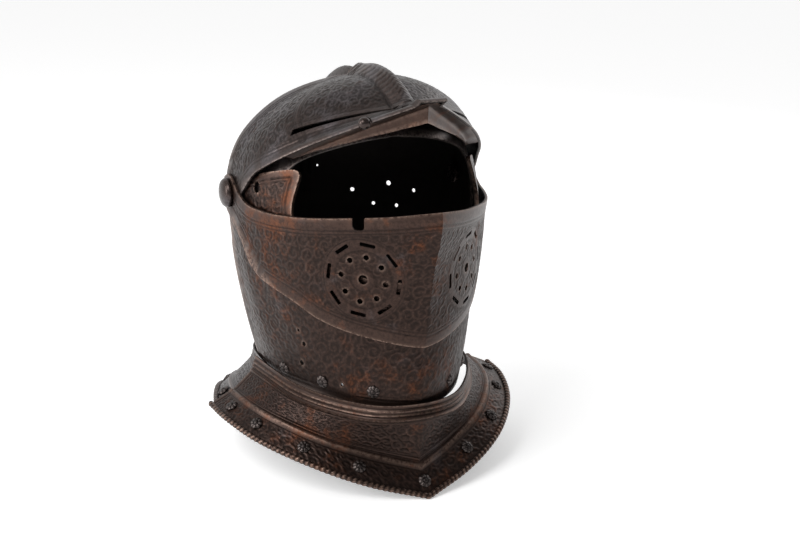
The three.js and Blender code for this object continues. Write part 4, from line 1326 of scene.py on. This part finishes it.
@dataclass
class RosetteRivets:
    """Rivets with petalled heads, set along a plate."""

    radius: float = 5.1
    height: float = 2.7
    petals: int = 8

    def head(self) -> bpy.types.Object:
        """Makes one head in metres, standing along Z at the origin."""
        rings, sides = 13, 48
        share = np.linspace(0, 1, rings)
        angle = np.linspace(0, 2 * math.pi, sides, endpoint=False)
        r, a = np.meshgrid(share, angle, indexing="ij")
        lobes = np.abs(np.cos(a * self.petals / 2))
        outer = smooth(0.42, 0.62, r)
        swell = 1 - 0.10 * outer * (1 - lobes ** 0.5)
        dome = np.sqrt(np.clip(1 - (0.96 * r) ** 2.2, 0, 1))
        height = self.height * (0.86 * dome - 0.20 * outer * (1 - lobes ** 0.45) * (r < 0.99)
                                - 0.20 * np.exp(-((r - 0.40) / 0.07) ** 2) + 0.14 * (1 - smooth(0.1, 0.34, r)))
        points = np.stack([r * self.radius * swell * np.cos(a), r * self.radius * swell * np.sin(a),
                           np.maximum(height, 0.0) + 0.1], -1).reshape(-1, 3)
        # The relief also sets the painted shade in the grooves of the head.
        relief = np.clip(1 - 1.3 * outer * (1 - lobes ** 0.45) - np.exp(-((r - 0.40) / 0.07) ** 2), 0, 1).ravel()
        skirt = points[-sides:] * [1, 1, 0] - [0, 0, 0.6]
        points = np.vstack([points, skirt])
        faces = []
        for i in range(rings):
            for j in range(sides):
                n = (j + 1) % sides
                faces.append((i * sides + j, (i + 1) * sides + j, (i + 1) * sides + n, i * sides + n))
        faces.append(tuple(range((rings + 1) * sides - 1, rings * sides - 1, -1)))
        mesh = bpy.data.meshes.new("rosette_head")
        mesh.from_pydata([tuple(p / 1000) for p in points], [], faces)
        for key, values in (("relief", np.concatenate([relief, np.full(sides, 0.4)])),
                            ("wear", np.concatenate([0.8 * relief * outer.ravel(), np.zeros(sides)]))):
            layer = mesh.attributes.new(key, "FLOAT", "POINT")
            layer.data.foreach_set("value", values.astype(np.float32))
        welded = self._welded(mesh)
        made = bpy.data.objects.new("rosette_head", welded)
        bpy.context.scene.collection.objects.link(made)
        return made

    @staticmethod
    def _welded(mesh: bpy.types.Mesh) -> bpy.types.Mesh:
        """Merges the head's pole and leaves its faces smooth and outward."""
        work = bmesh.new()
        work.from_mesh(mesh)
        bmesh.ops.remove_doubles(work, verts=work.verts, dist=1e-6)
        bmesh.ops.dissolve_degenerate(work, edges=work.edges, dist=1e-7)
        bmesh.ops.recalc_face_normals(work, faces=work.faces)
        for face in work.faces:
            face.smooth = True
        work.to_mesh(mesh)
        work.free()
        return mesh

    def tree(self) -> NodeTree:
        """Makes the tree: a head on every point, standing along its direction."""
        nodes = NodeTree("rosette_rivets", [("Head", "NodeSocketObject", None),
                                            ("Size", "NodeSocketFloat", 1.0),
                                            ("Material", "NodeSocketMaterial", None)])
        given = nodes.source.outputs
        info = nodes.node("GeometryNodeObjectInfo", {"Object": given["Head"]})
        direction = nodes.node(
            "GeometryNodeInputNamedAttribute", {"Name": "direction"}, data_type="FLOAT_VECTOR")
        aligned = nodes.node("FunctionNodeAlignRotationToVector", {"Vector": direction.outputs[0]}, axis="Z")
        turned = nodes.node("GeometryNodeInstanceOnPoints", {
            "Points": given["Geometry"], "Instance": info.outputs["Geometry"],
            "Rotation": aligned.outputs[0]})
        nodes.tree.links.new(given["Size"], turned.inputs["Scale"])
        nodes.close(turned.outputs[0], given["Material"])
        return nodes

    def build(self, name: str, spots: Array, directions: Array, body: str, finish: bpy.types.Material,
              nodes: list[str]) -> bpy.types.Object:
        """Sets rivets at places.

        Args:
            name: Name of the piece.
            spots: Positions of the rivets' feet.
            directions: Outward directions.
            body: Body they ride on.
            finish: Their material.
            nodes: Frame nodes they stand for.

        Returns:
            One mesh with all the heads.
        """
        mesh = bpy.data.meshes.new(name + "_places")
        mesh.from_pydata([tuple(p) for p in (spots + PIVOT) / 1000.0], [], [])
        layer = mesh.attributes.new("direction", "FLOAT_VECTOR", "POINT")
        layer.data.foreach_set("vector", directions.astype(np.float32).ravel())
        source = bpy.data.objects.new(name + "_places", mesh)
        bpy.context.scene.collection.objects.link(source)
        head = self.head()
        piece = self.tree().run(source, {"Head": head, "Material": finish}, name)
        bpy.data.objects.remove(head)
        dress(piece, body, finish, Slot.RIVETS, *nodes)
        return piece


# ------------------------------------------------------------------ turned pieces
def turned(name: str, profile: list[tuple[float, float]], centre: Array, direction: Array,
           sides: int = 48) -> bpy.types.Object:
    """Makes a turned solid.

    Args:
        name: Object name.
        profile: Radius and height pairs from the foot's middle to the top's middle.
        centre: Foot of its axis.
        direction: Unit axis.
        sides: Sides of each ring.

    Returns:
        The solid.
    """
    helper = np.array([0.0, 0.0, 1.0]) if abs(direction[2]) < 0.9 else np.array([1.0, 0.0, 0.0])
    first = np.cross(helper, direction)
    first /= np.linalg.norm(first)
    second = np.cross(direction, first)
    angle = np.linspace(0, 2 * math.pi, sides, endpoint=False)
    rings = [centre + h * direction + r * (np.cos(angle)[:, None] * first + np.sin(angle)[:, None] * second)
             for r, h in profile[1:-1]]
    points = np.vstack([*rings, centre + profile[0][1] * direction, centre + profile[-1][1] * direction])
    foot, top = len(points) - 2, len(points) - 1
    faces = []
    for j in range(sides):
        n = (j + 1) % sides
        faces.append((foot, n, j))
        last = (len(rings) - 1) * sides
        faces.append((top, last + j, last + n))
        for i in range(len(rings) - 1):
            a, b = i * sides, (i + 1) * sides
            faces += [(a + j, a + n, b + n), (a + j, b + n, b + j)]
    return make_object(name, points, np.array(faces), crease=50.0)


@dataclass
class Pivots:
    """The domed rondels, bolts and nuts on which the plates turn."""

    radius: float = 11.5
    height: float = 6.0

    def build(self, finish: bpy.types.Material) -> None:
        """Makes both pivots."""
        inside = SKULL_WIDTH - PLATE - 1.2
        foot = UPPER_WIDTH + 0.3
        for side, node in ((-1, "pivot_right"), (1, "pivot_left")):
            profile = [(0, inside - 3), (7.4, inside - 3), (8, inside - 2.4), (8, inside), (4.1, inside),
                       (4.1, foot), (self.radius - 0.4, foot), (self.radius, foot + 0.5),
                       (self.radius, foot + 1.3)]
            for k in range(1, 16):
                a = math.radians(k * 6)
                dent = 0.25 * math.exp(-((k - 3.0) / 0.8) ** 2)
                profile.append((self.radius * math.cos(a) - dent, foot + 1.4 + (self.height - 1.4) * math.sin(a)))
            profile.append((0, foot + self.height))
            piece = turned(f"{node}_dome", profile, np.zeros(3), np.array([float(side), 0, 0]))
            dress(piece, "skull", finish, Slot.POLISHED, node)


@dataclass
class LiftingPeg:
    """The turned peg that lifts the visor."""

    ball: float = 4.6

    def build(self, finish: bpy.types.Material) -> None:
        """Makes the peg with a small knob on its ball."""
        profile = [(0, 1), (3.2, 1), (3.4, 1.5), (2.4, 2.3), (2.2, 3.4)]
        for k in range(-8, 15):
            a = math.radians(k * 6)
            profile.append((self.ball * math.cos(a), 7.4 + self.ball * math.sin(a)))
        profile += [(0.5, 12.0), (0, 12.05)]
        outward = VISOR_FORM.normal(29, -0.22) * [1, 1, 0]
        outward /= np.linalg.norm(outward)
        piece = turned("lifting_peg_ball", profile, VISOR_FORM.point(31.8, -0.22), outward, 40)
        dress(piece, "visor", finish, Slot.POLISHED, "lifting_peg")


@dataclass
class LedgeFlange:
    """The strip turned in under the visor's lower edge."""

    width: float = 13.4
    thickness: float = 1.5
    drop: float = 11.5
    skirt_from: float = 70.0
    skirt_to: float = 152.0

    def build(self, finish: bpy.types.Material) -> bpy.types.Object:
        """Makes the strip with the skirt that hangs from it, hammered a little uneven."""
        t = np.linspace(-0.995, 0.995, 900)
        reach, _ = VISOR_FORM.section(np.full_like(t, LEDGE_ANGLE), t)
        t, reach = t[reach > 78.0], reach[reach > 78.0]
        forward = reach * math.cos(math.radians(LEDGE_ANGLE))
        hang = self.drop * np.clip((forward - self.skirt_from) / (self.skirt_to - self.skirt_from), 0, 1.08)
        turn = math.radians(LEDGE_ANGLE)
        outside, inside = self.width - 1.7, self.width
        ring = []
        for inset, rise, share in ((0.25, 0.0, 0.0), (4.0, -0.1, 0.0), (8.0, 0.1, 0.0), (outside - 1.2, 0.0, 0.0),
                                   (outside - 0.2, -0.1, 0.08), (outside, 0.0, 0.3), (outside + 0.1, 0.0, 0.65),
                                   (outside, 0.0, 0.95), (outside + 0.8, -0.1, 1.0), (inside, 0.0, 0.95),
                                   (inside, 0.0, 0.4), (inside, self.thickness, 0.0), (6.0, self.thickness, 0.0),
                                   (1.0, self.thickness, 0.0)):
            inner, x1 = VISOR_FORM.section(np.full_like(t, LEDGE_ANGLE), t, inset)
            wave = 0.25 * np.sin(t * 37.0) * np.sin(t * 11.0 + 1.0) if rise < 0.5 else 0.0
            point = np.stack([x1, -inner * math.cos(turn), inner * math.sin(turn)], 1)
            point[:, 1] += (rise + wave) * math.sin(turn)
            point[:, 2] += (rise + wave) * math.cos(turn) - share * hang
            ring.append(point)
        grid = np.stack(ring, 1)
        rows, around = grid.shape[:2]
        index = np.arange(rows * around).reshape(rows, around)
        a, b = index[:-1], index[1:]
        c, d = np.roll(b, -1, 1), np.roll(a, -1, 1)
        faces = np.concatenate([np.stack(corner, -1).reshape(-1, 3) for corner in ([a, b, c], [a, c, d])])
        caps = [[0, k, k + 1] for k in range(1, around - 1)]
        last = (rows - 1) * around
        caps += [[last, last + k + 1, last + k] for k in range(1, around - 1)]
        faces = np.vstack([faces, np.array(caps)])
        flow = grid.reshape(-1, 3)
        volume = (flow[faces[:, 0]] * np.cross(flow[faces[:, 1]], flow[faces[:, 2]])).sum()
        if volume < 0:
            faces = faces[:, ::-1]
        count = len(flow)
        edge = np.tile(np.array([0.8, 0.1, 0.1, 0.2, 0.3, 0.1, 0.1, 0.5, 0.9, 0.4, 0.1, 0.1, 0.1, 0.3]), rows)
        piece = make_object("visor_flange", flow, faces, {
            "relief": np.full(count, 0.9), "wear": edge, "inside": np.zeros(count)})
        dress(piece, "visor", finish, Slot.RUSTY)
        return piece


# ------------------------------------------------------------------ studio
@dataclass
class Studio:
    """Pale floor, white surround, soft lights and the camera."""

    azimuth: float = 25.5
    elevation: float = 16.5
    roll: float = 1.0
    distance: float = 1.18
    lens: float = 61.77

    def floor(self) -> None:
        """Lays a broad pale floor."""
        mesh = bpy.data.meshes.new("floor")
        mesh.from_pydata([(-6, -6, 0), (6, -6, 0), (6, 6, 0), (-6, 6, 0)], [], [(0, 1, 2, 3)])
        floor = bpy.data.objects.new("floor", mesh)
        bpy.context.scene.collection.objects.link(floor)
        material = bpy.data.materials.new("pale_floor")
        material.use_nodes = True
        shader = material.node_tree.nodes["Principled BSDF"]
        shader.inputs["Base Color"].default_value = (0.93, 0.93, 0.93, 1.0)
        shader.inputs["Roughness"].default_value = 0.9
        shader.inputs["Specular IOR Level"].default_value = 0.1
        shader.inputs["Emission Color"].default_value = (1.0, 1.0, 1.0, 1.0)
        shader.inputs["Emission Strength"].default_value = 0.38
        mesh.materials.append(material)

    def surround(self) -> None:
        """Lights everything from a white surround."""
        world = bpy.data.worlds.new("white_surround")
        world.use_nodes = True
        tree = world.node_tree
        background = tree.nodes["Background"]
        background.inputs["Color"].default_value = (1.0, 1.0, 1.0, 1.0)
        direction = tree.nodes.new("ShaderNodeTexCoord")
        parts = tree.nodes.new("ShaderNodeSeparateXYZ")
        level = tree.nodes.new("ShaderNodeMapRange")
        level.interpolation_type = "SMOOTHSTEP"
        for label, value in (("From Min", -0.35), ("From Max", 0.45), ("To Min", 0.22), ("To Max", 1.0)):
            level.inputs[label].default_value = value
        tree.links.new(direction.outputs["Generated"], parts.inputs[0])
        tree.links.new(parts.outputs["Y"], level.inputs["Value"])
        tree.links.new(level.outputs["Result"], background.inputs["Strength"])
        bpy.context.scene.world = world
        bpy.context.scene.view_settings.view_transform = "Standard"

    def light(self, name: str, place: tuple[float, float, float], size: float, power: float,
              aim: tuple[float, float, float] = (0.0, 0.0, 0.17)) -> None:
        """Sets one soft square light.

        Args:
            name: Name of the light.
            place: Where it stands.
            size: Side of the square.
            power: Watts.
            aim: Point it faces.
        """
        data = bpy.data.lights.new(name, "AREA")
        data.size = size
        data.energy = power
        lamp = bpy.data.objects.new(name, data)
        lamp.location = place
        lamp.rotation_euler = (Vector(aim) - Vector(place)).to_track_quat("-Z", "Y").to_euler()
        bpy.context.scene.collection.objects.link(lamp)

    def camera(self) -> None:
        """Places the camera and makes it the scene's."""
        a, e, r = (math.radians(v) for v in (self.azimuth, self.elevation, self.roll))
        back = Vector((-math.sin(a) * math.cos(e), -math.cos(a) * math.cos(e), math.sin(e)))
        right = Vector((math.cos(a), -math.sin(a), 0.0))
        up = back.cross(right)
        data = bpy.data.cameras.new("camera")
        data.lens = self.lens
        data.sensor_width = 36.0
        data.clip_start, data.clip_end = 0.01, 50.0
        camera = bpy.data.objects.new("camera", data)
        frame_axes = Matrix((right, up, back)).transposed()
        camera.matrix_world = Matrix.Translation(self.place) @ frame_axes.to_4x4() @ Matrix.Rotation(r, 4, "Z")
        bpy.context.scene.collection.objects.link(camera)
        bpy.context.scene.camera = camera

    place: tuple[float, float, float] = (-0.4330, -0.9821, 0.4651)

    def build(self) -> None:
        """Makes the whole studio."""
        self.floor()
        self.surround()
        self.light("key_upper_left", (-1.1, -0.55, 1.25), 0.8, 15.0)
        self.light("side_left", (-1.5, 0.1, 0.5), 0.7, 10.0)
        self.light("rim_right", (1.3, 0.5, 0.8), 0.7, 2.5)
        self.camera()


# ------------------------------------------------------------------ the helmet
def comb_fade(degrees: Array) -> Array:
    """Height of the skull's comb as a share, from brow to nape."""
    spread = np.clip((np.mod(degrees, 360) - 34) / 162, 0, 1)
    return np.where(spread < 1, np.maximum(0.08, np.sin(math.pi * spread) ** 0.7), 0.0)


def hood_fade(degrees: Array) -> Array:
    """Height of the visor's ridge as a share."""
    turned_to = np.mod(degrees, 360)
    return np.where((turned_to > 33) & (turned_to < 110), np.clip((turned_to - 33) / 5, 0.05, 1), 0.0)


def plates() -> list[FormPlate]:
    """The four plates that turn about the pivots, from the inside out."""
    ledge = [190 * math.cos(math.radians(LEDGE_ANGLE)), 190 * math.sin(math.radians(LEDGE_ANGLE))]
    return [
        Skull("skull", "skull", SKULL_FORM, [
            [97, 70], [84, 52], [60, 34], [46, 8], [40, -40], [38, -100], [37, -143], [-130, -141],
            [-130, 150], [60, 150]], (36.0, 288.0), 1.6, 11, Slot.PATINATED,
            ridge=Ridge(9.0, 6.0, comb_fade, 2.6, 0.4, 0.75)),
        LowerBevor("lower_bevor", "lower_bevor", LOWER_FORM, [
            *arc(15, 6, 80, 200), [-12, -60], [-6, -100], [-2, -144], [60, -145], [190, -147], [190, -60],
            [160, -46], [125, -45], [98, -38], [80, -22], [71, 0], [72, 31], [54, 27], [22, 17.5]],
            (-92.0, 26.0), 1.12, 23, Slot.RUSTY, band=5.5, roll=2.2),
        Visor("visor", "visor", VISOR_FORM, [
            *arc(14.5, 9, 150, 345), [28, 10.5], [38, 22.5], ledge, [190, 150], [19, 150], [17, 96],
            [2, 76], [-11, 40]], (31.0, 100.0), 0.86, 37, Slot.PATINATED, rounding=6.0,
            ridge=Ridge(9.0, 9.5, hood_fade, 3.4, 1.1, 0.55), band=7.5),
        UpperBevor("upper_bevor", "upper_bevor", UPPER_FORM, [
            *arc(15, 8, 60, 235), [6, -21], [22.4, -34], [27, -47], [37, -57], [51, -62], [61, -65],
            [75, -69.5], [92, -80], [109, -86], [124, -90], [136, -93.5], [146, -99], [190, -110], [190, 20],
            [166, 13.2], [142, 6.6], [115, 2], [90, -2], [62, -4], [35, -3.2], [21, 3]],
            (-46.0, 8.0), 0.96, 41, Slot.RUSTY),
    ]


def main() -> None:
    """Builds the studio and the helmet, piece by piece."""
    logging.basicConfig(level=logging.INFO, format="%(message)s")
    Studio().build()
    grey, brown, fitting, rivet = (steel.build() for steel in (GREY_PLATE, BROWN_PLATE, FITTING, RIVET))
    finishes = {Slot.PATINATED: grey, Slot.RUSTY: brown}
    for plate in plates():
        plate.build(finishes[plate.slot])
    LedgeFlange().build(brown)
    Pivots().build(fitting)
    LiftingPeg().build(fitting)
    front = GorgetPlate("front_gorget", "lower_bevor", FRONT_CURVES, ("border", "rim"), 53, Slot.RUSTY,
                        (-0.86, -0.66, -0.45, -0.24, 0.0, 0.24, 0.45, 0.66, 0.86))
    rear = GorgetPlate("rear_gorget", "skull", REAR_CURVES, (), 59, Slot.PATINATED,
                       (-0.72, -0.5, -0.25, 0.0, 0.25, 0.5, 0.72))
    rope = RopedRim()
    heads = RosetteRivets()
    for gorget, label in ((front, "front"), (rear, "rear")):
        finish = finishes[gorget.slot]
        gorget.build(finish)
        rope.build(f"{label}_roped_rim", gorget.rim_line(), gorget.body, finish, gorget.slot)
        spots, directions = gorget.rivet_places()
        heads.build(f"{label}_rivets", spots, directions, gorget.body, rivet,
                    [f"{label}_rivet_{k + 1}" for k in range(len(spots))])
    neck = [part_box(f"neck_rivet_{k}") for k in range(1, 7)]
    spots = np.array([(np.array(low) + np.array(high)) * 500 - PIVOT for low, high in neck])
    degrees = np.degrees(np.arctan2(spots[:, 2], -spots[:, 1]))
    directions = []
    for spot, angle in zip(spots, degrees):
        t = np.linspace(0, 1, 400) * np.sign(spot[0])
        on_form = LOWER_FORM.point(angle, t)
        directions.append(LOWER_FORM.normal(angle, t[((on_form - spot) ** 2).sum(1).argmin()]))
    directions = np.array(directions)
    heads.build("neck_rivets", spots - 1.2 * directions, directions, "lower_bevor", rivet,
                [f"neck_rivet_{k}" for k in range(1, 7)])


if __name__ == "__main__":
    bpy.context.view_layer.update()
    main()
